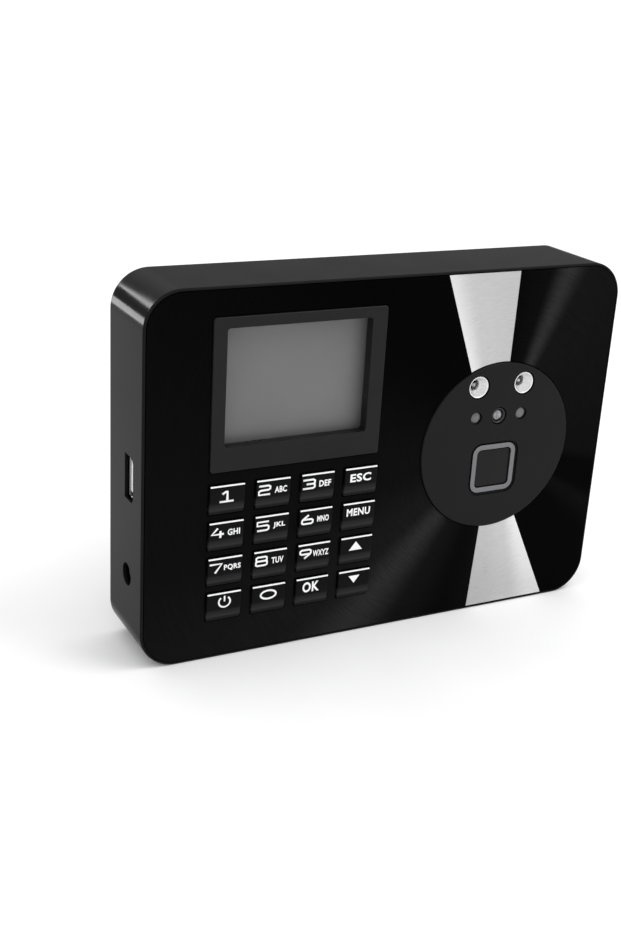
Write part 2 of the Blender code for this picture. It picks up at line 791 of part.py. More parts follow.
def build_main_board(case):
    left = left_edge + wall + clearance
    right = disc_x - disc_radius + main_board_under_disc
    notch_x = left_edge + wall + clearance + power_body_length + clearance
    notch = power_body_width / 2 + clearance
    top = case_height - main_board_margin
    outline = [
        (left, main_board_margin), (right, main_board_margin), (right, top), (left, top),
        (left, power_from_bottom + notch), (notch_x, power_from_bottom + notch),
        (notch_x, power_from_bottom - notch), (left, power_from_bottom - notch),
    ]
    board = solid("main_board", outline, main_board_front, main_board_back, case, "board_green")
    overlap = board_thickness / 4
    chips = [rectangle(width, height, (display_x + x, middle_z + z)) for width, height, x, z in board_blocks]
    chip_shapes = prisms(chips, main_board_back - overlap, main_board_back + board_block_height)
    boolean(board, helper("board_chips", chip_shapes, case), "UNION")
    cut(board, "board_screw_holes",
        [circle(board_shaft_radius + clearance, c, 12) for c in board_boss_centers()],
        main_board_front - overshoot, main_board_back + overshoot, case)
    head_back = main_board_back + clearance + head_thickness
    for number, center in enumerate(board_boss_centers(), 1):
        screw(f"board_screw_{number}", center, head_back, board_head_radius, board_shaft_radius,
              board_screw_length, case)


def build_clock_cell(case):
    center = (display_x, display_z - cell_below_display)
    pocket = cell_radius + clearance
    outer = pocket + holder_wall
    holder_front = main_board_back + clearance
    floor = holder_front + cell_floor
    shape = bmesh.new()
    turned(shape, [(0, floor), (pocket, floor), (pocket, floor + cell_grip),
                   (outer, floor + cell_grip), (outer, holder_front), (0, holder_front)], center)
    place("cell_holder", shape, case, "socket_black")
    cell_front = floor + clearance
    shape = bmesh.new()
    turned(shape, [(0, cell_front), (cell_radius * 0.85, cell_front),
                   (cell_radius, cell_front + cell_edge), (cell_radius, cell_front + cell_thickness),
                   (0, cell_front + cell_thickness)], center)
    place("coin_cell", shape, case, "steel")


def build_usb(usb):
    mouth = usb_setback
    end = mouth + usb_length
    shell = solid("usb_shell", usb_outline(0), mouth, end, usb, "steel")
    cut(shell, "usb_cavity", [usb_outline(-usb_wall)], mouth - overshoot, end - usb_wall, usb)
    base_back = end - usb_wall - clearance
    around = usb_wall + clearance
    base = rectangle(usb_height - 2 * around - usb_chamfer, usb_width - 2 * around,
                     (-usb_chamfer / 2, 0))
    offset = usb_wall + tongue_gap + tongue_height / 2 - usb_height / 2
    blade = rectangle(tongue_height, tongue_width, (offset, 0))
    shape = bmesh.new()
    base_front = base_back - tongue_base
    stack(shape, [(blade, base_front - tongue_length), (blade, base_front), (base, base_front),
                  (base, base_back)])
    place("usb_tongue", shape, usb, "inner_plastic")


def build_power_socket(power):
    mouth = wall + clearance
    back = mouth + power_body_length
    body = solid("power_socket", rectangle(power_body_width, power_body_width), mouth, back, power,
                 "socket_black")
    cut(body, "power_bore", [circle(power_bore_radius)], mouth - overshoot, mouth + power_bore_depth,
        power)
    shape = bmesh.new()
    pin_back = mouth + power_bore_depth - clearance
    turned(shape, dome(power_pin_radius, mouth + 1 * mm, pin_back, 3), steps=12)
    place("power_pin", shape, power, "steel")


def speaker_center():
    return (disc_x + speaker_right_of_disc, disc_z - disc_radius + speaker_over_disc_edge)


def build_rear_cover(case):
    outline = case_outline(wall + clearance)
    cover = solid("rear_cover", outline, cover_front, case_depth, case, "black_case")
    through = (cover_front - overshoot, case_depth + overshoot)
    holes = [circle(cover_shaft_radius + clearance, c, 16) for c in cover_boss_centers()]
    for side in (-1, 1):
        holes.append(keyhole((side * keyhole_spacing / 2, middle_z + keyhole_above_middle)))
    cut(cover, "cover_holes", holes, *through, case)
    bores = [circle(cover_head_radius + clearance, c) for c in cover_boss_centers()]
    cut(cover, "counterbores", bores, case_depth - counterbore_depth, case_depth + overshoot, case)

    x, z = speaker_center()
    reach = speaker_radius - speaker_rim - 1 * mm
    slots = []
    for index in range(grille_slots):
        rise = (index - (grille_slots - 1) / 2) * grille_pitch
        length = 2 * math.sqrt(reach * reach - rise * rise)
        slots.append(rounded(length, grille_slot_width, grille_slot_width * 0.49, (x, z + rise), 3))
    cut(cover, "grille_slots", slots, *through, case)

    head_back = case_depth - counterbore_depth + clearance + head_thickness
    for number, center in enumerate(cover_boss_centers(), 1):
        screw(f"cover_screw_{number}", center, head_back, cover_head_radius, cover_shaft_radius,
              cover_screw_length, case)


def build_speaker(case):
    center = speaker_center()
    back = cover_front - clearance
    front = back - speaker_depth
    inner = speaker_radius - speaker_rim
    floor = front + speaker_floor
    shape = bmesh.new()
    turned(shape, [(0, floor), (inner * 0.6, floor), (inner, back - speaker_flange), (inner, back),
                   (speaker_radius, back), (speaker_radius, back - speaker_flange),
                   (magnet_radius + speaker_floor, front), (magnet_radius, front),
                   (magnet_radius, front - magnet_depth), (0, front - magnet_depth)], center)
    place("speaker_frame", shape, case, "steel")
    shape = bmesh.new()
    rim = inner - clearance
    near = [(0, back - cone_middle_drop), (rim * 0.3, back - cone_valley_drop),
            (rim * 0.85, back - cone_rim_drop), (rim, back - cone_rim_drop)]
    far = [(radius, depth - cone_thickness) for radius, depth in reversed(near)]
    turned(shape, near + far, center)
    place("speaker_cone", shape, case, "cone")


def build_ribbons(groups):
    case = groups[0]
    touch = clearance + ribbon_thickness / 2
    board_side = main_board_front - touch

    def run(name, middle, size, side, depth, along):
        start, length, width, flat = size
        path = s_bend(middle + start, middle + start + length, depth + touch, board_side, flat)
        ribbon(name, path, width, side, along, case)

    run("display_ribbon", display_z, display_ribbon, display_x, lcd_frame_back, "z")
    run("keypad_ribbon", keypad_z, keypad_ribbon, display_x + keypad_ribbon_aside, keypad_board_back, "z")
    run("sensor_ribbon", disc_x, sensor_ribbon, disc_z, sensor_board_back, "x")


def main():
    for old in list(bpy.data.objects):
        bpy.data.objects.remove(old)
    inward = -math.pi / 2
    groups = [
        empty("case_frame", (0, case_front_y, 0)),
        empty("display_frame", (display_x, case_front_y, display_z)),
        empty("keypad_frame", (display_x, case_front_y, keypad_z)),
        empty("sensor_frame", (disc_x, case_front_y, disc_z)),
        empty("usb_frame", (left_edge, case_front_y + usb_depth, middle_z), inward),
        empty("power_frame", (left_edge, case_front_y + power_depth, power_from_bottom), inward),
    ]
    case, display, keypad, sensor, usb, power = groups
    build_shell(groups)
    build_panel(groups)
    build_display(display)
    build_keypad(keypad)
    build_sensor_disc(sensor)
    build_lamps(sensor)
    build_camera(sensor)
    build_finger_reader(sensor)
    build_sensor_board(sensor)
    build_main_board(case)
    build_clock_cell(case)
    build_usb(usb)
    build_power_socket(power)
    build_rear_cover(case)
    build_speaker(case)
    build_ribbons(groups)


main()
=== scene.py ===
import json
import math

import bmesh
import bpy
from mathutils import Euler, Matrix, Vector

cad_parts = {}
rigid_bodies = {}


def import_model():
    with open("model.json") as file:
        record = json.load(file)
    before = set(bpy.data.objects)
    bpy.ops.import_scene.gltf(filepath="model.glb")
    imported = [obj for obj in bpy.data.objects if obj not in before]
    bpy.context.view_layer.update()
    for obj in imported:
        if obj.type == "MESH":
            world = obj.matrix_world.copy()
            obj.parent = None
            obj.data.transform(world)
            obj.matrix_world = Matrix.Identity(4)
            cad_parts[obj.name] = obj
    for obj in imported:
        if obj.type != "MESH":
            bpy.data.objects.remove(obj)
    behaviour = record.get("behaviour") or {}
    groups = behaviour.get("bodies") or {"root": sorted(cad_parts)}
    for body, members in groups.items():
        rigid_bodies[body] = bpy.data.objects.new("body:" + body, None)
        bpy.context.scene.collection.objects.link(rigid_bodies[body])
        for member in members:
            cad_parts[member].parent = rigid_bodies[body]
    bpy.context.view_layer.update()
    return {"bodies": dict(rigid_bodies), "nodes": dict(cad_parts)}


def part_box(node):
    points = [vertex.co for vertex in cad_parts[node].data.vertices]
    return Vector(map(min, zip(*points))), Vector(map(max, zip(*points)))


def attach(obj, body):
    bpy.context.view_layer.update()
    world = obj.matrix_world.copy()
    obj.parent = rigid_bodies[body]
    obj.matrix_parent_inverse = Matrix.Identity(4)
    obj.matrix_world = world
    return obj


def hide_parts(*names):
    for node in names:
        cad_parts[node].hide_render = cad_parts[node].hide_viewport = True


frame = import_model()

# Looks of a fingerprint and face time terminal: a black case with a display, a keypad and a sensor disc.
# Everything is in metres, with the front towards -Y and Z up.
mm = 0.001
touching = 1e-6  # points closer than this are the same


# Modelling steps that every piece uses

def deselectAll():
    if bpy.context.object and bpy.context.object.mode != "OBJECT":
        bpy.ops.object.mode_set(mode="OBJECT")
    bpy.ops.object.select_all(action="DESELECT")


def activate(piece):
    deselectAll()
    piece.select_set(True)
    bpy.context.view_layer.objects.active = piece


def applyPlace(piece):
    activate(piece)
    bpy.ops.object.transform_apply(location=True, rotation=True, scale=True)


def newest(name):
    piece = bpy.context.object
    piece.name = name
    piece.data.name = name
    applyPlace(piece)
    return piece


def addBox(name, low, high):
    deselectAll()
    low, high = Vector(low), Vector(high)
    bpy.ops.mesh.primitive_cube_add(size=1, location=(low + high) / 2, scale=high - low)
    return newest(name)


def pick(kind, test):
    # selects what passes the test in the active piece, in edit mode
    bpy.ops.object.mode_set(mode="EDIT")
    bpy.ops.mesh.select_mode(type=kind)
    bpy.ops.mesh.select_all(action="DESELECT")
    mesh = bpy.context.object.data
    shape = bmesh.from_edit_mesh(mesh)
    shape.normal_update()
    for item in {"VERT": shape.verts, "EDGE": shape.edges, "FACE": shape.faces}[kind]:
        if test(item):
            item.select_set(True)
    bmesh.update_edit_mesh(mesh)


def middle(item):
    if hasattr(item, "calc_center_median"):
        return item.calc_center_median()
    return (item.verts[0].co + item.verts[1].co) / 2


def runsAlong(edge, axis):
    way = edge.verts[1].co - edge.verts[0].co
    return abs(way["XYZ".index(axis)]) > 0.99 * way.length


def bevelPicked(width, segments=3):
    bpy.ops.mesh.bevel(offset=width, offset_type="OFFSET", segments=segments, affect="EDGES",
                       clamp_overlap=True)
    bpy.ops.object.mode_set(mode="OBJECT")


def stepIn(test, border, depth):
    # the faces that pass are drawn in from their edge and then moved along Y
    pick("FACE", test)
    bpy.ops.mesh.inset(thickness=border)
    bpy.ops.mesh.extrude_region_move(TRANSFORM_OT_translate={"value": (0, depth, 0)})


def roundedBox(name, low, high, radius, segments=6, axis="Y"):
    # a box whose four edges along one axis are rounded
    piece = addBox(name, low, high)
    pick("EDGE", lambda edge: runsAlong(edge, axis))
    bevelPicked(radius, segments)
    return piece


def roundRim(piece, y, width, segments=3):
    # rounds every edge that lies in the plane at this depth
    activate(piece)
    pick("EDGE", lambda edge: all(abs(v.co.y - y) < touching for v in edge.verts)
         and any(abs(face.normal.y) < 0.5 for face in edge.link_faces))
    bevelPicked(width, segments)


def boolean(piece, tools, operation="DIFFERENCE"):
    # one or more tools that don't touch each other, joined and then cut out or added
    deselectAll()
    for tool in tools:
        tool.select_set(True)
    bpy.context.view_layer.objects.active = tools[0]
    if len(tools) > 1:
        bpy.ops.object.join()
    tool = bpy.context.object
    activate(piece)
    modifier = piece.modifiers.new("holes", "BOOLEAN")
    modifier.operation = operation
    modifier.object = tool
    bpy.ops.object.modifier_apply(modifier=modifier.name)
    bpy.data.objects.remove(tool)


def softenEdges(piece, width, segments=2, angle=50):
    # a small radius on every sharp edge, as any moulded or turned piece has
    activate(piece)
    modifier = piece.modifiers.new("edges", "BEVEL")
    modifier.width = width
    modifier.segments = segments
    modifier.limit_method = "ANGLE"
    modifier.angle_limit = math.radians(angle)
    bpy.ops.object.modifier_apply(modifier=modifier.name)


def shade(piece):
    activate(piece)
    bpy.ops.object.shade_smooth()
    modifier = piece.modifiers.new("flats", "WEIGHTED_NORMAL")
    modifier.keep_sharp = False
    bpy.ops.object.modifier_apply(modifier=modifier.name)


def finishEdges(piece, width, segments=2, angle=50):
    softenEdges(piece, width, segments, angle)
    shade(piece)


def addRound(name, centre, radius, start, end, axis="Y", corners=64):
    # a round bar along an axis, from one place on it to another
    deselectAll()
    place = Vector(centre)
    place["XYZ".index(axis)] = (start + end) / 2
    turn = (math.pi / 2, 0, 0) if axis == "Y" else (0, math.pi / 2, 0)
    bpy.ops.mesh.primitive_cylinder_add(vertices=corners, radius=radius, depth=abs(end - start),
                                        location=place, rotation=turn)
    return newest(name)


def spinProfile(name, profile, centre, axis="Y", steps=48):
    # the profile holds (radius, place on the axis) in millimetres: a vertex is extruded along it, then spun
    deselectAll()
    profile = [(radius * mm, place * mm) for radius, place in profile]
    centre = Vector(centre)
    centre["XYZ".index(axis)] = 0
    along = Vector((0, 1, 0)) if axis == "Y" else Vector((1, 0, 0))
    out = Vector((0, 0, 1))
    first = centre + out * profile[0][0] + along * profile[0][1]
    bpy.ops.mesh.primitive_plane_add(size=mm, location=first)
    piece = newest(name)
    bpy.ops.object.mode_set(mode="EDIT")
    bpy.ops.mesh.select_mode(type="VERT")
    bpy.ops.mesh.select_all(action="SELECT")
    bpy.ops.mesh.merge(type="CENTER")
    for here, there in zip(profile, profile[1:]):
        step = out * (there[0] - here[0]) + along * (there[1] - here[1])
        bpy.ops.mesh.extrude_vertices_move(TRANSFORM_OT_translate={"value": tuple(step)})
    bpy.ops.mesh.select_all(action="SELECT")
    bpy.ops.mesh.spin(steps=steps, angle=2 * math.pi, center=centre, axis=along)
    bpy.ops.mesh.select_all(action="SELECT")
    bpy.ops.mesh.remove_doubles(threshold=touching)
    bpy.ops.mesh.normals_make_consistent(inside=False)
    bpy.ops.object.mode_set(mode="OBJECT")
    return piece


def copyTo(piece, name, offset):
    made = piece.copy()
    made.data = piece.data.copy()
    made.name = made.data.name = name
    bpy.context.scene.collection.objects.link(made)
    made.location = offset
    applyPlace(made)
    return made


def keep(piece, finish, body="root", stands=()):
    # hands the piece to the frame with its material, the body it rides on and the nodes it stands for
    piece.data.materials.append(finish)
    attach(piece, body)
    if stands:
        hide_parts(*stands)
    return piece


def centreOf(node):
    low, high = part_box(node)
    return (low + high) / 2


# Materials

def linear(code):
    # an sRGB hex colour as the linear values that a shader takes
    levels = [int(code[i:i + 2], 16) / 255 for i in (0, 2, 4)]
    return [level / 12.92 if level <= 0.04045 else ((level + 0.055) / 1.055) ** 2.4
            for level in levels] + [1]


def perMm(size):
    # a texture's scale, in features a metre, for features of this size in millimetres
    return 1000 / size


def addNode(tree, kind, values=None, links=None, **settings):
    made = tree.nodes.new("ShaderNode" + kind)
    for name, value in settings.items():
        setattr(made, name, value)
    for name, value in (values or {}).items():
        made.inputs[name].default_value = value
    for name, source in (links or {}).items():
        tree.links.new(source, made.inputs[name])
    return made


def addRamp(tree, source, stops, interpolation="LINEAR"):
    ramp = addNode(tree, "ValToRGB", links={"Fac": source})
    ramp.color_ramp.interpolation = interpolation
    points = ramp.color_ramp.elements
    while len(points) < len(stops):
        points.new(0.5)
    for point, (place, colour) in zip(points, stops):
        point.position = place
        point.color = linear(colour) if isinstance(colour, str) else (colour, colour, colour, 1)
    return ramp.outputs["Color"]


def startMaterial(name, colour, roughness, metallic=0.0, **more):
    made = bpy.data.materials.new(name)
    made.use_nodes = True
    tree = made.node_tree
    shader = tree.nodes["Principled BSDF"]
    shader.inputs["Base Color"].default_value = linear(colour)
    shader.inputs["Roughness"].default_value = roughness
    shader.inputs["Metallic"].default_value = metallic
    for key, value in more.items():
        shader.inputs[key.replace("_", " ")].default_value = value
    coords = addNode(tree, "TexCoord").outputs["Object"]
    return made, tree, shader, coords


def addGrain(tree, coords, size, detail=2.0):
    noise = addNode(tree, "TexNoise", {"Scale": perMm(size), "Detail": detail}, {"Vector": coords})
    return noise.outputs["Fac"]


def addBump(tree, shader, height, strength, depth):
    bump = addNode(tree, "Bump", {"Strength": strength, "Distance": depth}, {"Height": height})
    tree.links.new(bump.outputs["Normal"], shader.inputs["Normal"])


def vary(tree, source, low, high):
    # a pattern stretched to run between two values
    return addNode(tree, "MapRange", {"From Min": 0.3, "From Max": 0.7, "To Min": low, "To Max": high},
                   {"Value": source}).outputs["Result"]


def tint(tree, shader, source, colours):
    # the base colour drifts between two close shades
    colour = addRamp(tree, source, [(0.3, colours[0]), (0.7, colours[1])])
    tree.links.new(colour, shader.inputs["Base Color"])


def mouldedPlastic(name, shades, roughness, grain, depth, **more):
    # plastic from a spark-eroded mould: an even fine texture, with roughness that drifts a little
    made, tree, shader, coords = startMaterial(name, shades[0], roughness, **more)
    fine = addGrain(tree, coords, grain)
    broad = addGrain(tree, coords, 14, 3.0)
    tint(tree, shader, broad, shades)
    tree.links.new(vary(tree, broad, roughness - 0.03, roughness + 0.04), shader.inputs["Roughness"])
    addBump(tree, shader, fine, 0.35, depth)
    return made


def aroundPoint(tree, coords, centre):
    # distance from a point on the face and the direction from it, as seen from the front
    shifted = addNode(tree, "VectorMath", {1: (centre.x, 0, centre.z)}, {0: coords}, operation="SUBTRACT")
    flat = addNode(tree, "VectorMath", {1: (1, 0, 1)}, {0: shifted.outputs[0]}, operation="MULTIPLY").outputs[0]
    reach = addNode(tree, "VectorMath", links={0: flat}, operation="LENGTH").outputs["Value"]
    parts = addNode(tree, "SeparateXYZ", links={0: flat})
    angle = addNode(tree, "Math", links={0: parts.outputs["X"], 1: parts.outputs["Z"]}, operation="ARCTAN2")
    share = addNode(tree, "MapRange", {"From Min": -math.pi, "From Max": math.pi}, {"Value": angle.outputs[0]})
    way = addNode(tree, "VectorMath", links={0: flat}, operation="NORMALIZE").outputs[0]
    return reach, way, share.outputs["Result"]


def addRings(tree, reach, way, pitch, arc):
    # fine arcs round the point, like a turned or circularly brushed face
    step = addNode(tree, "Math", {1: perMm(pitch)}, {0: reach}, operation="MULTIPLY").outputs[0]
    out = addNode(tree, "CombineXYZ", links={"Y": step}).outputs[0]
    side = addNode(tree, "VectorMath", {"Scale": arc}, {0: way}, operation="SCALE").outputs[0]
    place = addNode(tree, "VectorMath", links={0: out, 1: side}, operation="ADD").outputs[0]
    return addNode(tree, "TexNoise", {"Scale": 1.0, "Detail": 2.0}, {"Vector": place}).outputs["Fac"]


def atDegrees(degrees):
    # place on a conic ramp: degrees are clockwise from straight up, seen from the front
    return degrees / 360 + 0.5


discLow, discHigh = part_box("sensor_disc")
discCentre = centreOf("sensor_disc")


def addPaintedHighlightFans(tree, shader, coords, paintedHighlightFans, pitch, arc, darkest, roughness):
    # rays of painted highlight and reflection round the disc, lighter and darker, broken up by fine arcs, whose
    # pattern is handed back
    reach, way, share = aroundPoint(tree, coords, discCentre)
    paintedHighlightFan = addRamp(tree, share, [(atDegrees(degrees), colour) for degrees, colour in paintedHighlightFans], "EASE")
    rings = addRings(tree, reach, way, pitch, arc)
    depth = addRamp(tree, rings, [(0.3, darkest), (0.7, 1.0)])
    mixed = addNode(tree, "Mix", {"Factor": 1.0}, {6: paintedHighlightFan, 7: depth}, data_type="RGBA", blend_type="MULTIPLY")
    tree.links.new(mixed.outputs[2], shader.inputs["Base Color"])
    tree.links.new(vary(tree, rings, *roughness), shader.inputs["Roughness"])
    return rings


def makeCaseAbs():
    # black ABS, moulded and lightly polished: satin, so lights leave soft bands on the rounded corners
    return mouldedPlastic("caseAbs", ("161616", "1A1A1A"), 0.13, 0.35, 0.000002,
                          Specular_IOR_Level=0.018, IOR=1.53)


def makePanelAcrylic():
    # acrylic sheet with a circular grain printed under its gloss: deep black, with fans of painted reflection
    # in its base colour, lighter and darker rays round the disc that stand in for the grain's highlights
    made, tree, shader, coords = startMaterial("panelAcrylic", "0A0A0B", 0.07, IOR=1.49,
                                                Specular_IOR_Level=0.012)
    # painted reflection: the shade of each ray round the disc, by degrees clockwise from straight up
    paintedHighlightFans = ((-180, "0C0C0D"), (-165, "060607"), (-150, "101011"), (-138, "292929"), (-127, "161617"),
            (-100, "0C0C0D"), (-40, "020202"), (0, "030304"), (14, "080809"), (21, "2A2A2A"), (28, "111112"),
            (60, "0E0E0F"), (98, "0B0B0C"), (106, "020202"), (116, "020202"), (122, "0A0A0B"), (132, "030303"),
            (152, "030303"), (180, "0C0C0D"))
    addPaintedHighlightFans(tree, shader, coords, paintedHighlightFans, 0.5, 9.0, 0.72, (0.06, 0.1))
    return made


def makeBrushedInlay():
    # bright anodised aluminium foil, brushed in circles, with a painted highlight in its base colour: a fan of
    # white along one edge that falls to grey
    made, tree, shader, coords = startMaterial("brushedInlay", "C8C8C8", 0.3, 1.0)
    # painted highlight: the shade of the foil at each angle round the disc
    paintedHighlightFans = ((-180, "BCBCBC"), (-40, "DCDCDC"), (-24, "D8D8D8"), (-14, "BABABA"), (8, "B4B4B4"), (90, "FAFAFA"),
            (150, "F4F4F4"), (158, "E2E2E2"), (168, "C4C4C4"), (180, "BCBCBC"))
    rings = addPaintedHighlightFans(tree, shader, coords, paintedHighlightFans, 0.35, 14.0, 0.9, (0.27, 0.36))
    addBump(tree, shader, rings, 0.2, 0.00001)
    return made


def makeKeyAbs():
    # black ABS caps, with a painted sheen: a paler band in the base colour at the foot of each cap, standing in
    # for the floor's light on its slope
    made, tree, shader, coords = startMaterial("keyAbs", "0B0B0C", 0.2, Specular_IOR_Level=0.06)
    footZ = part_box("key_down")[0].z + 1 * mm  # the lowest row's cap starts above its flange
    height = addNode(tree, "SeparateXYZ", links={0: coords}).outputs["Z"]
    rise = addNode(tree, "Math", {1: footZ}, {0: height}, operation="SUBTRACT")
    pitch, capHeight = 12.5 * mm, 10 * mm
    inKey = addNode(tree, "Math", {1: pitch}, {0: rise.outputs[0]}, operation="MODULO")
    share = addNode(tree, "Math", {1: capHeight}, {0: inKey.outputs[0]}, operation="DIVIDE")
    # painted sheen: the shade up each cap, from its foot to its top
    stops = [(0.0, "0B0B0C"), (0.09, "141415"), (0.17, "29292A"), (0.3, "202021"), (0.44, "0B0B0C"),
             (1.0, "08080A")]
    band = addRamp(tree, share.outputs[0], stops, "EASE")
    tree.links.new(band, shader.inputs["Base Color"])
    addBump(tree, shader, addGrain(tree, coords, 0.2), 0.2, 0.000003)
    return made


def makePrintWhite():
    # white keypad ink: matte, a little uneven where the pad laid it down
    made, tree, shader, coords = startMaterial("printWhite", "E8E8E8", 0.55)
    tint(tree, shader, addGrain(tree, coords, 0.6), ("DEDEDE", "F0F0F0"))
    return made


def clearPlastic(name, colour, roughness, bend):
    # see-through, with its gloss on outer faces alone: light crosses it unbent, so gloss inside would trap it
    made, tree, _, coords = startMaterial(name, "FFFFFF", roughness)
    fine = vary(tree, addGrain(tree, coords, 4), roughness, roughness + 0.02)
    gloss = addNode(tree, "BsdfGlossy", {"Color": linear("FFFFFF")}, {"Roughness": fine})
    clear = addNode(tree, "BsdfTransparent", {"Color": linear(colour)})
    edge = addNode(tree, "Fresnel", {"IOR": bend})
    outer = addNode(tree, "Math", {0: 1.0}, {1: addNode(tree, "NewGeometry").outputs["Backfacing"]},
                    operation="SUBTRACT")
    share = addNode(tree, "Math", links={0: edge.outputs[0], 1: outer.outputs[0]}, operation="MULTIPLY")
    mix = addNode(tree, "MixShader", links={0: share.outputs[0], 1: clear.outputs[0], 2: gloss.outputs[0]})
    tree.links.new(mix.outputs[0], tree.nodes["Material Output"].inputs["Surface"])
    return made


def makeLcdGlass():
    # the polariser over an unlit liquid crystal: an even mid grey with a faint drift across it
    made, tree, shader, coords = startMaterial("lcdGlass", "787878", 0.3, IOR=1.5, Specular_IOR_Level=0.3)
    tint(tree, shader, addGrain(tree, coords, 40), ("767676", "7A7A7A"))
    addBump(tree, shader, addGrain(tree, coords, 0.3), 0.03, 0.000002)
    return made


def makeLensGlass():
    # coated optical glass over a dark barrel: its coat reflects the lights, and its base colour is a painted
    # highlight, mid grey with lighter blotches where the glass would look black
    made, tree, shader, coords = startMaterial("lensGlass", "606064", 0.06, IOR=1.6, Coat_Weight=1.0)
    tint(tree, shader, addGrain(tree, coords, 1.2), ("48484C", "8E8E94"))
    return made


def brushedMetal(name, shades, roughness, grain, stretch=(1, 1, 1)):
    # rolled or turned metal: fine scratches along one way that spread its highlights
    made, tree, shader, coords = startMaterial(name, shades[0], roughness, 1.0)
    drawn = addNode(tree, "Mapping", {"Scale": stretch}, {"Vector": coords}).outputs[0]
    fine = addGrain(tree, drawn, grain)
    tint(tree, shader, fine, shades)
    tree.links.new(vary(tree, fine, roughness - 0.06, roughness + 0.08), shader.inputs["Roughness"])
    addBump(tree, shader, fine, 0.15, 0.00001)
    return made


def makeCircuitBoard():
    # FR4 board under green solder mask: copper tracks show as lighter lines below the gloss
    made, tree, shader, coords = startMaterial("circuitBoard", "0F3B22", 0.3)
    cells = addNode(tree, "TexVoronoi", {"Scale": perMm(3.5)}, {"Vector": coords}, distance="MANHATTAN",
                    feature="DISTANCE_TO_EDGE")
    tracks = addRamp(tree, cells.outputs["Distance"], [(0.05, "1E6A3C"), (0.09, "0F3B22")])
    tree.links.new(tracks, shader.inputs["Base Color"])
    return made


def makeRibbon():
    # flat cable: tinned conductors show as stripes through the off-white film
    made, tree, shader, coords = startMaterial("flatCable", "D8D2C2", 0.35)
    wave = addNode(tree, "TexWave", {"Scale": perMm(3.2), "Distortion": 0.0}, {"Vector": coords})
    stripes = addRamp(tree, wave.outputs["Fac"], [(0.35, "B8B4A8"), (0.65, "E4DECE")])
    tree.links.new(stripes, shader.inputs["Base Color"])
    return made


def makeFloorFinish():
    # matte white studio paper with a hardly visible tooth
    made, tree, shader, coords = startMaterial("studioPaper", "F4F4F4", 0.9, Specular_IOR_Level=0.1)
    tint(tree, shader, addGrain(tree, coords, 60), ("F2F2F2", "F6F6F6"))
    return made


print("materials")
caseAbs = makeCaseAbs()
panelAcrylic = makePanelAcrylic()
brushedInlay = makeBrushedInlay()
printWhite = makePrintWhite()
windowClear = clearPlastic("windowClear", "F6F6F6", 0.04, 1.2)  # clear cast acrylic
lcdGlass = makeLcdGlass()
lensGlass = makeLensGlass()
clearEpoxy = clearPlastic("clearEpoxy", "EFEFEF", 0.07, 1.5)  # water-clear epoxy, bright at its rim
circuitBoard = makeCircuitBoard()
flatCable = makeRibbon()
bezelAbs = mouldedPlastic("bezelAbs", ("161617", "19191A"), 0.3, 0.2, 0.000004, Specular_IOR_Level=0.12)
keyAbs = makeKeyAbs()
discAbs = mouldedPlastic("discAbs", ("111112", "131314"), 0.42, 0.18, 0.000004, Specular_IOR_Level=0.1)
lensBarrel = mouldedPlastic("lensBarrel", ("0A0A0A", "0E0E0E"), 0.35, 0.2, 0.000006)
socketNylon = mouldedPlastic("socketNylon", ("0C0C0D", "101011"), 0.45, 0.3, 0.00001)
tongueNylon = mouldedPlastic("tongueNylon", ("ECECEA", "F4F4F2"), 0.4, 0.3, 0.00001)
siliconeMat = mouldedPlastic("siliconeMat", ("7C7C7C", "868686"), 0.7, 0.5, 0.00003)
irEpoxy = mouldedPlastic("irEpoxy", ("565656", "606060"), 0.12, 0.6, 0.000004)
fingerGlass = mouldedPlastic("fingerGlass", ("131314", "161617"), 0.16, 0.2, 0.000002, Specular_IOR_Level=0.12)
coneFibre = mouldedPlastic("coneFibre", ("1A1A1A", "242424"), 0.8, 0.4, 0.00005)
ringMetal = brushedMetal("ringZinc", ("6E6E70", "7A7A7C"), 0.42, 0.3)
nickelSteel = brushedMetal("nickelSteel", ("B8B8B6", "C6C6C4"), 0.25, 0.3, (1, 6, 1))
chromeCup = brushedMetal("chromeCup", ("E0E0E0", "F0F0F0"), 0.42, 0.5)
zincScrew = brushedMetal("zincScrew", ("8E8E90", "A2A2A4"), 0.32, 0.25)
goldPad = brushedMetal("goldPad", ("C8A860", "D8B870"), 0.25, 0.2)


# Case

caseLow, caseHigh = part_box("front_shell")
panelLow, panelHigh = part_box("front_panel")
bezelLow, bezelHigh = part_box("display_bezel")
windowLow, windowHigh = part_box("display_window")
keyNames = [name for name in frame["bodies"] if name.startswith("key_")]


shellSizes = {
    "cornerRadius": 12.5 * mm,
    "wall": 2.4 * mm,
    "lip": 0.8 * mm,
    "panelRoom": 2.3 * mm,  # from the front rim to the web behind the panel
    "webBack": 4.1 * mm,
    "frontEdge": 0.7 * mm,
    "backEdge": 0.5 * mm,
    "coverRoom": 2.7 * mm,
    "keyRoom": 0.3 * mm,  # round each key cap
    "opticsRim": 3.9 * mm,
    "usbChamfer": 1.4 * mm,
    "powerHole": 3.8 * mm,
    "holeReach": 4 * mm,  # how far the side holes go in
}


def keyHoleHalf():
    # half the size of the hole that a key cap moves in
    room = shellSizes["keyRoom"]
    return Vector((keySizes["width"] / 2 + room, 0, keySizes["height"] / 2 + room))


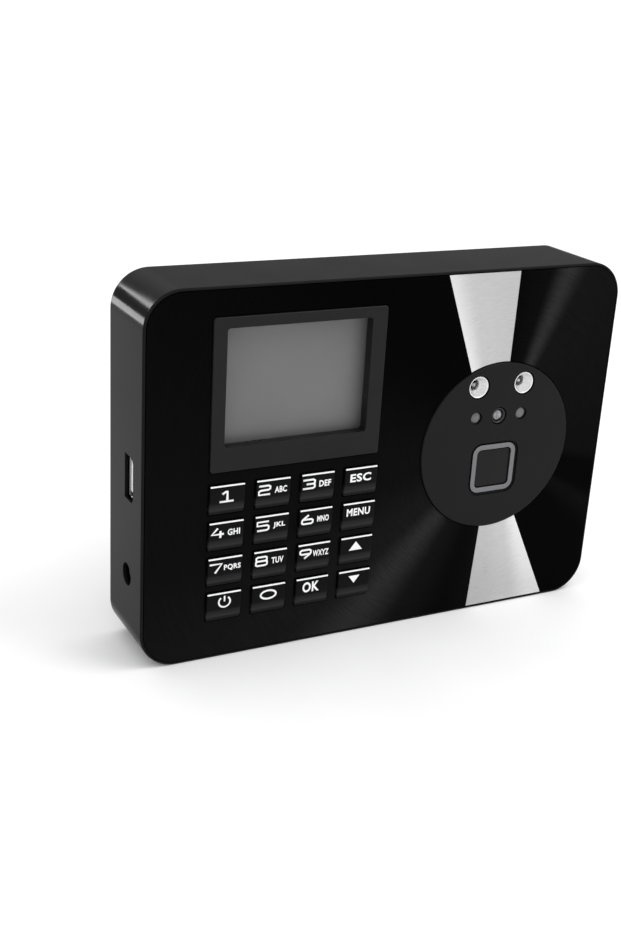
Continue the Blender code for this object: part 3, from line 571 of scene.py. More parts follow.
def makeShell():
    sizes = shellSizes
    shell = roundedBox("caseShell", caseLow, caseHigh, sizes["cornerRadius"], 20)
    activate(shell)
    # the back is drawn in to the wall and hollowed, then the front to the lip that holds the panel
    hollow = caseHigh.y - caseLow.y - sizes["webBack"]
    stepIn(lambda face: face.normal.y > 0.9, sizes["wall"], -hollow)
    stepIn(lambda face: face.normal.y < -0.9 and middle(face).y < caseLow.y + touching,
           sizes["lip"], sizes["panelRoom"])
    bpy.ops.object.mode_set(mode="OBJECT")

    def outer(edge, y):
        inset = min(caseHigh.x - abs(v.co.x) for v in edge.verts)
        rise = min(min(v.co.z - caseLow.z, caseHigh.z - v.co.z) for v in edge.verts)
        radius = sizes["cornerRadius"]
        if inset < radius and rise < radius:
            corner = [math.hypot(radius - caseHigh.x + abs(v.co.x),
                                 radius - min(v.co.z - caseLow.z, caseHigh.z - v.co.z)) for v in edge.verts]
            onOutline = min(corner) > radius - 0.05 * mm
        else:
            onOutline = min(inset, rise) < touching
        return onOutline and all(abs(v.co.y - y) < touching for v in edge.verts)

    pick("EDGE", lambda edge: outer(edge, caseLow.y))
    bevelPicked(sizes["frontEdge"], 4)
    pick("EDGE", lambda edge: outer(edge, caseHigh.y))
    bevelPicked(sizes["backEdge"], 3)

    def through(name, low, high, radius):
        return roundedBox(name, (low[0], caseLow.y + sizes["panelRoom"] - mm, low[1]),
                          (high[0], caseLow.y + sizes["webBack"] + mm, high[1]), radius, 3)

    gap = 0.3 * mm
    tools = [through("displayRoom", (windowLow.x - gap, windowLow.z - gap),
                     (windowHigh.x + gap, windowHigh.z + gap), mm)]
    keyHalf = keyHoleHalf()
    for name in keyNames:
        centre = centreOf(name)
        low, high = centre - keyHalf, centre + keyHalf
        tools.append(through("keyRoom", (low.x, low.z), (high.x, high.z), 0.3 * mm))
    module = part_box("fingerprint_module")
    tools.append(through("fingerRoom", (module[0].x - 2 * gap, module[0].z - 2 * gap),
                         (module[1].x + 2 * gap, module[1].z + 2 * gap), 3.4 * mm))
    lampLow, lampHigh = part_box("led_reflector_left")[0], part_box("led_reflector_right")[1]
    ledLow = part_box("ir_led_left")[0]
    rim = sizes["opticsRim"]
    tools.append(through("opticsRoom", (lampLow.x - rim, ledLow.z - rim),
                         (lampHigh.x + rim, lampHigh.z + rim), rim))
    boolean(shell, tools)
    cutSockets(shell)
    addBosses(shell)
    shade(shell)
    keep(shell, caseAbs, stands=["front_shell"])


def usbTool(name, low, high, chamfer):
    # a box along X with its two corners towards the front cut off
    tool = addBox(name, low, high)
    pick("EDGE", lambda edge: runsAlong(edge, "X") and middle(edge).y < (low[1] + high[1]) / 2)
    bpy.ops.mesh.bevel(offset=chamfer, segments=1, affect="EDGES")
    bpy.ops.object.mode_set(mode="OBJECT")
    return tool


def cutSockets(shell):
    low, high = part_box("usb_shell")
    gap = 0.25 * mm
    inner = caseLow.x + shellSizes["holeReach"]
    slot = usbTool("usbSlot", (caseLow.x - mm, low.y - gap, low.z - gap),
                   (inner, high.y + gap, high.z + gap), shellSizes["usbChamfer"])
    hole = addRound("powerHole", centreOf("power_socket"), shellSizes["powerHole"], caseLow.x - mm, inner,
                    "X", 48)
    boolean(shell, [slot, hole])
    activate(shell)

    def mouth(edge):
        # outer ends of both holes, on the left wall
        flat = all(abs(v.co.x - caseLow.x) < touching for v in edge.verts)
        return flat and 22 * mm < middle(edge).z < 72 * mm and abs(middle(edge).y) < 9 * mm

    pick("EDGE", mouth)
    bevelPicked(0.25 * mm, 2)


def addBosses(shell):
    # pillars for the screws, each with a pilot hole from behind
    root = caseLow.y + shellSizes["webBack"] - 0.6 * mm
    kinds = (("cover", 4 * mm, caseHigh.y - shellSizes["coverRoom"]), ("board", 3 * mm, 0.8 * mm))
    pillars, pilots = [], []
    for number in range(1, 5):
        for kind, radius, reach in kinds:
            node = f"{kind}_screw_{number}"
            centre = centreOf(node)
            pillars.append(addRound("pillar", centre, radius, root, reach, corners=32))
            hole = 1.4 * mm if kind == "cover" else 1.2 * mm
            pilots.append(addRound("pilot", centre, hole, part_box(node)[0].y - mm, reach + mm, corners=20))
    boolean(shell, pillars, "UNION")
    boolean(shell, pilots)


# Front panel and inlays

inlayEdges = {
    # each edge starts under the disc: its place from the disc's centre and how far it leans from upright
    "upper": {"left": (-9.4 * mm, 18.5 * mm, -20.0), "right": (2.4 * mm, 18.5 * mm, 0.9)},
    "lower": {"left": (-2.2 * mm, -18.5 * mm, -3.8), "right": (7.2 * mm, -18.5 * mm, 25.6)},
    "thickness": 0.6 * mm,
    "gap": 0.08 * mm,
}


def wedge(name, side, grow, front, back):
    # a slab from the disc to the panel's edge, cut along both edges of the inlay
    top = side == "upper"
    low = (discCentre.x - 40 * mm, front, discCentre.z + 15 * mm if top else panelLow.z - grow)
    high = (discCentre.x + 40 * mm, back, panelHigh.z + grow if top else discCentre.z - 15 * mm)
    piece = addBox(name, low, high)
    for edge, sign in (("left", -1), ("right", 1)):
        x, z, lean = inlayEdges[side][edge]
        lean = math.radians(lean if top else -lean)
        normal = Vector((math.cos(lean), 0, -math.sin(lean))) * sign
        bpy.ops.object.mode_set(mode="EDIT")
        bpy.ops.mesh.select_all(action="SELECT")
        place = Vector((discCentre.x + x, 0, discCentre.z + z)) + normal * grow
        bpy.ops.mesh.bisect(plane_co=place, plane_no=normal, use_fill=True, clear_outer=True)
    bpy.ops.object.mode_set(mode="OBJECT")
    return piece


def makePanel():
    back = panelHigh.y
    panel = roundedBox("frontPanel", panelLow, panelHigh, 11.4 * mm, 20)
    gap = 0.3 * mm
    before, after = panelLow.y - mm, back + mm
    tools = [roundedBox("bezelHole", (bezelLow.x - gap, before, bezelLow.z - gap),
                        (bezelHigh.x + gap, after, bezelHigh.z + gap), 1.2 * mm, 4)]
    for name in keyNames:
        low, high = centreOf(name) - keyHoleHalf(), centreOf(name) + keyHoleHalf()
        tools.append(roundedBox("keyHole", (low.x, before, low.z), (high.x, after, high.z), 0.5 * mm, 3))
    discRoom = discSizes["radius"] + discSizes["gap"]
    tools.append(addRound("discHole", discCentre, discRoom, before, after, corners=160))
    boolean(panel, tools)
    pocket = panelLow.y + inlayEdges["thickness"] + inlayEdges["gap"]
    grow = inlayEdges["gap"]
    boolean(panel, [wedge("upperPocket", "upper", grow, before, pocket),
                    wedge("lowerPocket", "lower", grow, before, pocket)])
    finishEdges(panel, 0.15 * mm, 2, 60)
    keep(panel, panelAcrylic, stands=["front_panel"])
    for side in ("upper", "lower"):
        inlay = wedge(side + "Inlay", side, 0, panelLow.y, panelLow.y + inlayEdges["thickness"])
        boolean(inlay, [addRound("discHole", discCentre, discRoom, before, after, corners=160)])
        finishEdges(inlay, 0.06 * mm, 1, 60)
        keep(inlay, brushedInlay, stands=[side + "_accent"])


# Display

displaySizes = {"corner": 1.0 * mm, "chamfer": 0.4 * mm, "openingCorner": 1.0 * mm, "skirtWall": 2 * mm,
                "screenBorder": 2.2 * mm, "screenStep": 0.15 * mm, "screenCorner": 0.6 * mm}


def makeDisplay():
    sizes = displaySizes
    opening = sizes["skirtWall"]
    openLow = windowLow + Vector((opening, 0, opening))
    openHigh = windowHigh - Vector((opening, 0, opening))
    body = roundedBox("displayBezel", bezelLow, (bezelHigh.x, panelHigh.y, bezelHigh.z), sizes["corner"], 4)
    roundRim(body, bezelLow.y, sizes["chamfer"], 2)
    skirt = roundedBox("skirt", (windowLow.x, panelHigh.y - 0.5 * mm, windowLow.z),
                       (windowHigh.x, bezelHigh.y, windowHigh.z), sizes["openingCorner"], 3)
    boolean(body, [skirt], "UNION")
    hole = roundedBox("windowHole", (openLow.x, bezelLow.y - mm, openLow.z),
                      (openHigh.x, bezelHigh.y + mm, openHigh.z), sizes["openingCorner"], 4)
    boolean(body, [hole])
    finishEdges(body, 0.12 * mm, 2, 60)
    keep(body, bezelAbs, stands=["display_bezel"])

    window = roundedBox("displayWindow", windowLow, windowHigh, sizes["openingCorner"], 4)
    finishEdges(window, 0.1 * mm, 1, 60)
    keep(window, windowClear, stands=["display_window"])

    low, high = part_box("lcd_panel")
    screen = addBox("lcdScreen", low, high)
    # the step comes while the corners are square: an inset wider than a corner's radius crosses itself
    stepIn(lambda face: face.normal.y < -0.9, sizes["screenBorder"], sizes["screenStep"])
    pick("EDGE", lambda edge: runsAlong(edge, "Y") and edge.calc_length() > 1 * mm)
    bevelPicked(sizes["screenCorner"], 3)
    finishEdges(screen, 0.05 * mm, 1, 60)
    keep(screen, lcdGlass, stands=["lcd_panel"])


# Keys and legends

keySizes = {
    "width": 12 * mm, "height": 10 * mm, "flange": 1 * mm, "flangeThickness": 1 * mm,
    "stem": 5 * mm, "stemLength": 2.6 * mm,
    "slope": 0.8 * mm,  # how far the bottom edge of the cap falls back
    "slopeStart": 1 * mm,  # above the middle of the cap
    "edge": 0.3 * mm, "line": 0.14 * mm,
    "levels": 6,  # steps of the slope
    "inkProud": 0.03 * mm,
}
# strokes of the wide digits on a square from 0 to 1
digitStrokes = {
    "1": [[(0.2, 0.78), (0.45, 1), (0.55, 1), (0.55, 0)], [(0.02, 0), (1, 0)]],
    "2": [[(0, 1), (0.85, 1), (1, 0.88), (1, 0.64), (0.85, 0.52), (0.15, 0.5), (0, 0.38), (0, 0), (1, 0)]],
    "3": [[(0, 1), (0.85, 1), (1, 0.88), (1, 0.62), (0.88, 0.51), (0.3, 0.51)],
          [(0.88, 0.51), (1, 0.4), (1, 0.12), (0.85, 0), (0, 0)]],
    "4": [[(0.5, 1), (0, 0.38), (1, 0.38)], [(0.72, 0.7), (0.72, 0)]],
    "5": [[(1, 1), (0, 1), (0, 0.56), (0.85, 0.56), (1, 0.44), (1, 0.12), (0.85, 0), (0, 0)]],
    "6": [[(0.6, 1), (0.08, 0.5), (0, 0.36), (0, 0.12), (0.15, 0), (0.85, 0), (1, 0.12), (1, 0.38),
           (0.85, 0.5), (0.1, 0.5)]],
    "7": [[(0, 1), (1, 1), (0.45, 0)]],
    "8": [[(0.15, 0.52), (0.03, 0.63), (0.03, 0.9), (0.15, 1), (0.85, 1), (0.97, 0.9), (0.97, 0.63),
           (0.85, 0.52), (0.15, 0.52), (0, 0.42), (0, 0.1), (0.15, 0), (0.85, 0), (1, 0.1), (1, 0.42),
           (0.85, 0.52)]],
    "9": [[(0.4, 0), (0.95, 0.5), (1, 0.64), (1, 0.88), (0.85, 1), (0.15, 1), (0, 0.88), (0, 0.62),
           (0.15, 0.5), (0.93, 0.5)]],
}
# the places on each cap, measured from its middle in millimetres: left, right, bottom, top
digitPlace = (-5.5, -0.9, -0.3, 3.4)
letterPlace = (0.4, 4.7, 0.2, 2.4)
longPlace = (-0.5, 5.4, 0.3, 2.5)
keyLegends = {
    "key_" + digit: [("strokes", digit, digitPlace),
                     ("text", letters, longPlace if len(letters) > 3 else letterPlace)]
    for digit, letters in (("2", "ABC"), ("3", "DEF"), ("4", "GHI"), ("5", "JKL"), ("6", "MNO"), ("7", "PQRS"),
                           ("8", "TUV"), ("9", "WXYZ"))
}
keyLegends.update({
    "key_1": [("strokes", "1", (-2.7, 2.1, -0.8, 3.2))],
    "key_esc": [("text", "ESC", (-4.1, 3.7, 0.1, 3.0))],
    "key_menu": [("text", "MENU", (-4.6, 4.2, 0.4, 3.1))],
    "key_ok": [("text", "OK", (-3.6, 2.6, -0.2, 3.6))],
    "key_up": [("arrow", 1, (-2.8, 2.2, 0.2, 3.3))],
    "key_down": [("arrow", -1, (-2.2, 2.0, 0.4, 3.1))],
    "key_0": [("oval", None, (-3.3, 2.9, -0.3, 3.4))],
    "key_power": [("power", None, (-2.2, 2.4, -0.5, 3.8))],
})


def slopeOf(centre):
    # where a cap's front starts to fall back, and how far down it goes on
    start = centre.z + keySizes["slopeStart"]
    return start, start - (centre.z - keySizes["height"] / 2)


def makeKeyCap(centre, front, back):
    sizes = keySizes
    half = Vector((sizes["width"] / 2, 0, sizes["height"] / 2))
    flangeFront = back - sizes["stemLength"] - sizes["flangeThickness"]
    cap = addBox("keyCap", (centre.x - half.x, front, centre.z - half.z),
                 (centre.x + half.x, flangeFront, centre.z + half.z))
    activate(cap)
    # cross lines on the front, which then fall back towards the bottom edge
    start, span = slopeOf(centre)
    steps = sizes["levels"]
    for step in range(steps):
        bpy.ops.object.mode_set(mode="EDIT")
        bpy.ops.mesh.select_all(action="SELECT")
        bpy.ops.mesh.bisect(plane_co=(0, 0, start - span * step / steps), plane_no=(0, 0, 1))
    for step in range(1, steps + 1):
        z = start - span * step / steps
        pick("VERT", lambda vert: abs(vert.co.z - z) < touching and vert.co.y < front + touching)
        fall = sizes["slope"] * (step / steps) ** 2
        bpy.ops.transform.translate(value=(0, fall, 0))
    # flange and stem behind
    pick("FACE", lambda face: face.normal.y > 0.9)
    wide, tall = sizes["width"], sizes["height"]
    for newWide, newTall, depth in (
            (wide + 2 * sizes["flange"], tall + 2 * sizes["flange"], sizes["flangeThickness"]),
            (sizes["stem"], sizes["stem"], sizes["stemLength"])):
        bpy.ops.mesh.extrude_region_move(TRANSFORM_OT_translate={"value": (0, 0, 0)})
        bpy.ops.transform.resize(value=(newWide / wide, 1, newTall / tall))
        bpy.ops.mesh.extrude_region_move(TRANSFORM_OT_translate={"value": (0, depth, 0)})
        wide, tall = newWide, newTall
    bpy.ops.mesh.select_all(action="SELECT")
    bpy.ops.mesh.remove_doubles(threshold=1e-7)
    bpy.ops.mesh.dissolve_limited(angle_limit=math.radians(0.5))
    # a white line along the top edge, in the legends' white finish, is its own band of faces
    bpy.ops.mesh.select_all(action="SELECT")
    bpy.ops.mesh.bisect(plane_co=(0, 0, centre.z + half.z - sizes["edge"] - sizes["line"]), plane_no=(0, 0, 1))
    bpy.ops.object.mode_set(mode="OBJECT")
    softenEdges(cap, sizes["edge"], 3, 40)
    cap.data.materials.append(keyAbs)
    cap.data.materials.append(printWhite)
    activate(cap)
    lineLow = centre.z + half.z - sizes["edge"] - sizes["line"]
    pick("FACE", lambda face: middle(face).z > lineLow and middle(face).y < front + 0.5 * mm
         and face.normal.y < -0.05 and abs(face.normal.x) < 0.6)
    cap.active_material_index = 1
    bpy.ops.object.material_slot_assign()
    bpy.ops.object.mode_set(mode="OBJECT")
    shade(cap)
    return cap


def placeFlat(piece, place, centre, front):
    # lays a flat legend that was drawn in X and Y on the front of a cap, and fits it to its place
    applyPlace(piece)
    corners = [vert.co for vert in piece.data.vertices]
    low = Vector([min(corner[axis] for corner in corners) for axis in range(3)])
    high = Vector([max(corner[axis] for corner in corners) for axis in range(3)])
    left, right, bottom, top = [value * mm for value in place]
    size = high - low
    thick = keySizes["inkProud"]
    piece.scale = ((right - left) / size.x, (top - bottom) / size.y, thick / size.z)
    piece.location = (-low.x * piece.scale.x, -low.y * piece.scale.y, -low.z * piece.scale.z)
    applyPlace(piece)
    piece.rotation_euler = (math.pi / 2, 0, 0)
    piece.location = (centre.x + left, front, centre.z + bottom)
    applyPlace(piece)
    return piece


def drawStrokes(name, strokes, weight, closed=False):
    # round-ended strokes of one width
    curve = bpy.data.curves.new(name, "CURVE")
    curve.dimensions = "3D"
    curve.bevel_depth = weight / 2
    curve.bevel_resolution = 2
    curve.use_fill_caps = True
    for stroke in strokes:
        line = curve.splines.new("POLY")
        line.points.add(len(stroke) - 1)
        for point, (x, y) in zip(line.points, stroke):
            point.co = (x, y, 0, 1)
        line.use_cyclic_u = closed
    piece = bpy.data.objects.new(name, curve)
    bpy.context.scene.collection.objects.link(piece)
    activate(piece)
    bpy.ops.object.convert(target="MESH")
    return bpy.context.object


def arcPoints(start, end, steps):
    angles = [math.radians(start + (end - start) * step / steps) for step in range(steps + 1)]
    return [(0.5 + 0.5 * math.sin(a), 0.5 + 0.5 * math.cos(a)) for a in angles]


def drawLegend(name, kind, what, place):
    left, right, bottom, top = place
    width, height = right - left, top - bottom
    if kind == "text":
        deselectAll()
        bpy.ops.object.text_add()
        words = bpy.context.object
        words.data.body = what
        words.data.extrude = 0.01
        words.data.offset = 0.03
        words.data.space_character = 1.08
        words.data.resolution_u = 3
        words.name = name
        bpy.ops.object.convert(target="MESH")
        return bpy.context.object
    if kind == "arrow":
        deselectAll()
        bpy.ops.mesh.primitive_cylinder_add(vertices=3, radius=1, depth=0.1,
                                            rotation=(0, 0, 0 if what > 0 else math.pi))
        arrow = newest(name)
        softenEdges(arrow, 0.02, 1, 40)
        return arrow
    weight = 0.7  # millimetres
    if kind == "strokes":
        strokes = digitStrokes[what]
    elif kind == "oval":
        strokes = [arcPoints(0, 360, 24)[:-1]]
    else:
        strokes = [arcPoints(38, 322, 20), [(0.5, 0.52), (0.5, 1.06)]]
        weight = 0.6
    wide, tall = width - weight, height - weight
    scaled = [[(x * wide, y * tall) for x, y in stroke] for stroke in strokes]
    return drawStrokes(name, scaled, weight, kind == "oval")


def bendLegend(legend, centre):
    # the ink follows the cap's front: it is cut at the same levels and moved back with them
    activate(legend)
    bpy.ops.object.mode_set(mode="EDIT")
    bpy.ops.mesh.select_all(action="SELECT")
    bpy.ops.mesh.remove_doubles(threshold=touching)
    bpy.ops.mesh.normals_make_consistent(inside=False)
    start, span = slopeOf(centre)
    steps = keySizes["levels"]
    for step in range(steps):
        bpy.ops.object.mode_set(mode="EDIT")
        bpy.ops.mesh.select_all(action="SELECT")
        bpy.ops.mesh.bisect(plane_co=(0, 0, start - span * step / steps), plane_no=(0, 0, 1))
    bpy.ops.object.mode_set(mode="OBJECT")
    for vert in legend.data.vertices:
        down = max(0.0, (start - vert.co.z) / span) * steps
        level = min(int(down), steps - 1)
        near, far = (level / steps) ** 2, ((level + 1) / steps) ** 2
        vert.co.y += keySizes["slope"] * (near + (far - near) * (down - level))


def makeKeys():
    low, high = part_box("key_1")
    front = low.y
    first = makeKeyCap(centreOf("key_1"), front, high.y)
    home = centreOf("key_1")
    for name in keyNames:
        centre = centreOf(name)
        plain = name.split("_")[1]
        cap = copyTo(first, "keyCap_" + plain, (centre.x - home.x, 0, centre.z - home.z))
        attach(cap, name)
        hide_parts(name)
        for number, (kind, what, place) in enumerate(keyLegends[name]):
            legend = drawLegend(f"legend_{plain}_{number}", kind, what, place)
            placeFlat(legend, place, centre, front + 0.005 * mm)
            legend.name = f"legend_{plain}_{number}"
            bendLegend(legend, centre)
            keep(legend, printWhite, name)
    bpy.data.objects.remove(first)


# Sensor disc and what it holds

discSizes = {"radius": 30 * mm, "gap": 0.3 * mm, "edge": 0.4 * mm, "lampHole": 4.2 * mm, "irHole": 2.2 * mm,
             "cameraHole": 3.1 * mm, "ringGap": 0.3 * mm, "recessBorder": 1.0 * mm, "recessDepth": 0.8 * mm,
             "ringCorner": 3.4 * mm}


def makeDisc():
    sizes = discSizes
    before, after = discLow.y - mm, discHigh.y + mm
    disc = addRound("sensorDisc", discCentre, sizes["radius"], discLow.y, discHigh.y, corners=160)
    roundRim(disc, discLow.y, sizes["edge"], 3)
    ringLow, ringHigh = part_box("fingerprint_ring")
    tools = [addRound("hole", centreOf("led_reflector_" + side), sizes["lampHole"], before, after)
             for side in ("left", "right")]
    tools += [addRound("hole", centreOf("ir_led_" + side), sizes["irHole"], before, after, corners=48)
              for side in ("left", "right")]
    tools.append(addRound("hole", centreOf("camera_lens"), sizes["cameraHole"], before, after, corners=48))
    gap = sizes["ringGap"]
    tools.append(roundedBox("hole", (ringLow.x - gap, before, ringLow.z - gap),
                            (ringHigh.x + gap, after, ringHigh.z + gap), sizes["ringCorner"] + gap, 8))
    boolean(disc, tools)
    border = sizes["recessBorder"]
    recess = roundedBox("recess", (ringLow.x - border, before, ringLow.z - border),
                        (ringHigh.x + border, discLow.y + sizes["recessDepth"], ringHigh.z + border),
                        sizes["ringCorner"] + border, 8)
    boolean(disc, [recess])
    finishEdges(disc, 0.15 * mm, 2, 60)
    keep(disc, discAbs, stands=["sensor_disc"])


def makeLamps():
    for side in ("left", "right"):
        node = "led_reflector_" + side
        low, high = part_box(node)
        centre = centreOf(node)
        front, back = low.y, high.y
        profile = [(1.5, back / mm), (3.9, back / mm), (3.9, front / mm + 0.15), (3.75, front / mm),
                   (3.55, front / mm), (3.45, front / mm + 0.12), (3.3, front / mm + 0.6),
                   (3.0, front / mm + 1.3), (2.5, front / mm + 2.2), (2.1, front / mm + 2.8),
                   (1.5, front / mm + 3.3), (1.5, back / mm)]
        cup = spinProfile("lampCup_" + side, profile, centre)
        shade(cup)
        keep(cup, chromeCup, stands=[node])
        node = "led_emitter_" + side
        low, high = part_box(node)
        profile = [(0, low.y / mm - 0.6), (0.5, low.y / mm - 0.5), (0.95, low.y / mm - 0.15),
                   (1.25, low.y / mm + 0.4), (1.38, low.y / mm + 1.1), (1.38, high.y / mm), (0, high.y / mm)]
        dome = spinProfile("lampDome_" + side, profile, centre, steps=32)
        shade(dome)
        keep(dome, clearEpoxy, stands=[node])
        # the chip on its lead frame, inside the dome
        anvil = addBox("lampChip_" + side, (centre.x - 0.7 * mm, low.y + 1.0 * mm, centre.z - 0.5 * mm),
                       (centre.x + 0.5 * mm, low.y + 1.6 * mm, centre.z + 0.5 * mm))
        stepIn(lambda face: face.normal.y < -0.9, 0.2 * mm, -0.2 * mm)
        bpy.ops.object.mode_set(mode="OBJECT")
        softenEdges(anvil, 0.04 * mm, 1, 40)
        keep(anvil, nickelSteel)


def makeSmallLights():
    for side in ("left", "right"):
        node = "ir_led_" + side
        low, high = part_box(node)
        centre = centreOf(node)
        radius, flatness = 2.1, 0.3
        turns = [math.radians(degrees) for degrees in range(0, 91, 10)]
        profile = [(radius * math.sin(turn), low.y / mm + flatness * radius * (1 - math.cos(turn)))
                   for turn in turns]
        profile += [(radius, high.y / mm), (0, high.y / mm)]
        dome = spinProfile("irLed_" + side, profile, centre, steps=32)
        shade(dome)
        keep(dome, irEpoxy, stands=[node])


def makeCamera():
    low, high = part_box("camera_module")
    centre = centreOf("camera_lens")
    front = low.y / mm
    profile = [(0, front + 2.2), (1.95, front + 2.2), (1.95, front + 0.9), (2.15, front + 0.5),
               (2.35, front + 0.1), (2.5, front), (2.7, front), (2.8, front + 0.1), (2.8, -10.0),
               (4.2, -9.9), (4.2, high.y / mm), (0, high.y / mm)]
    barrel = spinProfile("cameraBarrel", profile, centre)
    shade(barrel)
    keep(barrel, lensBarrel, stands=["camera_module"])
    radius = 1.75
    turns = [math.radians(step * 9) for step in range(11)]
    profile = [(radius * math.sin(turn), front + 0.2 + 0.6 * (1 - math.cos(turn))) for turn in turns]
    profile += [(radius, front + 1.7), (0, front + 1.7)]
    lens = spinProfile("cameraLens", profile, centre, steps=32)
    shade(lens)
    keep(lens, lensGlass, stands=["camera_lens"])


def makeFingerReader():
    low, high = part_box("fingerprint_ring")
    ring = roundedBox("fingerRing", low, high, discSizes["ringCorner"], 10)
    band = 1.8 * mm
    hole = roundedBox("hole", (low.x + band, low.y - mm, low.z + band),
                      (high.x - band, high.y + mm, high.z - band), 1.6 * mm, 8)
    boolean(ring, [hole])
    finishEdges(ring, 0.2 * mm, 3, 60)
    keep(ring, ringMetal, stands=["fingerprint_ring"])
    low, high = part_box("fingerprint_glass")
    glass = roundedBox("fingerGlassPlate", low, high, 1.3 * mm, 6)
    finishEdges(glass, 0.2 * mm, 3, 60)
    keep(glass, fingerGlass, stands=["fingerprint_glass"])


# Sockets in the side

usbSizes = {"wall": 0.4 * mm, "tongueGap": 0.45 * mm, "tongueThickness": 1.6 * mm, "tongueWidth": 11 * mm,
            "contactPitch": 2.2 * mm}


def makeUsb():
    low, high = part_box("usb_shell")
    wall = usbSizes["wall"]
    shell = usbTool("usbShell", low, high, 1.2 * mm)
    inside = usbTool("hole", (low.x - mm, low.y + wall, low.z + wall),
                     (high.x - wall, high.y - wall, high.z - wall), 1.0 * mm)
    boolean(shell, [inside])
    finishEdges(shell, 0.1 * mm, 2, 40)
    keep(shell, nickelSteel, stands=["usb_shell"])

    tongueLow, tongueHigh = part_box("usb_tongue")
    sizes = usbSizes
    bladeBack = high.y - wall - sizes["tongueGap"]
    bladeFront = bladeBack - sizes["tongueThickness"]
    middleZ = (low.z + high.z) / 2
    blade = addBox("usbTongue", (tongueLow.x, bladeFront, middleZ - sizes["tongueWidth"] / 2),
                   (tongueHigh.x - 2.6 * mm, bladeBack, middleZ + sizes["tongueWidth"] / 2))
    base = addBox("base", (tongueHigh.x - 2.8 * mm, tongueLow.y, tongueLow.z),
                  (tongueHigh.x, tongueHigh.y, tongueHigh.z))
    boolean(blade, [base], "UNION")
    finishEdges(blade, 0.12 * mm, 2, 40)
    keep(blade, tongueNylon, stands=["usb_tongue"])
    for index in range(4):
        z = middleZ + (index - 1.5) * sizes["contactPitch"]
        contact = addBox(f"usbContact_{index}", (tongueLow.x + 0.8 * mm, bladeFront - 0.06 * mm, z - 0.5 * mm),
                         (tongueLow.x + 8 * mm, bladeFront + 0.06 * mm, z + 0.5 * mm))
        softenEdges(contact, 0.04 * mm, 1, 40)
        keep(contact, goldPad)


def makePowerSocket():
    low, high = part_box("power_socket")
    centre = (low + high) / 2
    body = roundedBox("powerSocket", low, high, 0.6 * mm, 3, "X")
    boolean(body, [addRound("hole", centre, 3.2 * mm, low.x - mm, low.x + 10 * mm, "X", 48)])
    finishEdges(body, 0.12 * mm, 2, 50)
    keep(body, socketNylon, stands=["power_socket"])
    # a plated spring sleeve lines the bore
    inner, outer, flare = 2.9, 3.15, 3.6
    start, end = low.x / mm, low.x / mm + 9.5
    profile = [(inner, start + 0.3), (flare - 0.2, start - 0.6), (flare, start - 0.5), (outer, start + 0.1),
               (outer, end), (inner, end), (inner, start + 0.3)]
    sleeve = spinProfile("powerSleeve", profile, centre, "X")
    shade(sleeve)
    keep(sleeve, nickelSteel)
    low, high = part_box("power_pin")
    start, end = low.x / mm, high.x / mm
    profile = [(0, start), (0.45, start + 0.08), (0.8, start + 0.35), (0.98, start + 0.8), (0.98, end),
               (0, end)]
    pin = spinProfile("powerPin", profile, centre, "X", 24)
    shade(pin)
    keep(pin, nickelSteel, stands=["power_pin"])


# Back

coverSizes = {"corner": 10 * mm, "keyholeRadius": 4.5 * mm, "slotRadius": 2.3 * mm, "slotLength": 9 * mm,
              "keyholeX": 45 * mm, "keyholeZ": 84.5 * mm, "slots": 5, "pitch": 4.4 * mm, "slotWidth": 2 * mm,
              "grille": 11.6 * mm, "screwHole": 1.4 * mm, "screwBore": 3 * mm, "boreDepth": 1.4 * mm,
              "fieldHalf": 32 * mm, "fieldLow": 28 * mm, "fieldHigh": 62 * mm, "fieldDepth": 0.3 * mm}


def makeCover():
    sizes = coverSizes
    low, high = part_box("rear_cover")
    cover = roundedBox("rearCover", low, high, sizes["corner"], 16)
    before, after = low.y - mm, high.y + mm
    tools = []
    for x in (-sizes["keyholeX"], sizes["keyholeX"]):
        entry = addRound("entry", (x, 0, sizes["keyholeZ"]), sizes["keyholeRadius"], before, after, corners=48)
        r = sizes["slotRadius"]
        top = sizes["keyholeZ"] + sizes["slotLength"] + r
        slot = roundedBox("slot", (x - r, before, sizes["keyholeZ"]), (x + r, after, top), r * 0.999, 12)
        boolean(entry, [slot], "UNION")
        tools.append(entry)
    for number in range(1, 5):
        centre = centreOf(f"cover_screw_{number}")
        tools.append(addRound("screwHole", centre, sizes["screwHole"], before, after, corners=24))
    speaker = centreOf("speaker_cone")
    reach = sizes["grille"]
    for index in range(sizes["slots"]):
        rise = (index - (sizes["slots"] - 1) / 2) * sizes["pitch"]
        half = math.sqrt(reach * reach - rise * rise)
        width = sizes["slotWidth"] / 2
        tools.append(roundedBox("grille", (speaker.x - half, before, speaker.z + rise - width),
                                (speaker.x + half, after, speaker.z + rise + width), width * 0.999, 8))
    boolean(cover, tools)
    boreEnd = high.y - sizes["boreDepth"]
    bores = [addRound("bore", centreOf(f"cover_screw_{number}"), sizes["screwBore"], boreEnd, after, corners=48)
             for number in range(1, 5)]
    # a shallow blank field where a rating plate would go
    half = sizes["fieldHalf"]
    bores.append(roundedBox("field", (-half, high.y - sizes["fieldDepth"], sizes["fieldLow"]),
                            (half, after, sizes["fieldHigh"]), 2 * mm, 6))
    boolean(cover, bores)
    finishEdges(cover, 0.18 * mm, 2, 60)
    keep(cover, caseAbs, stands=["rear_cover"])


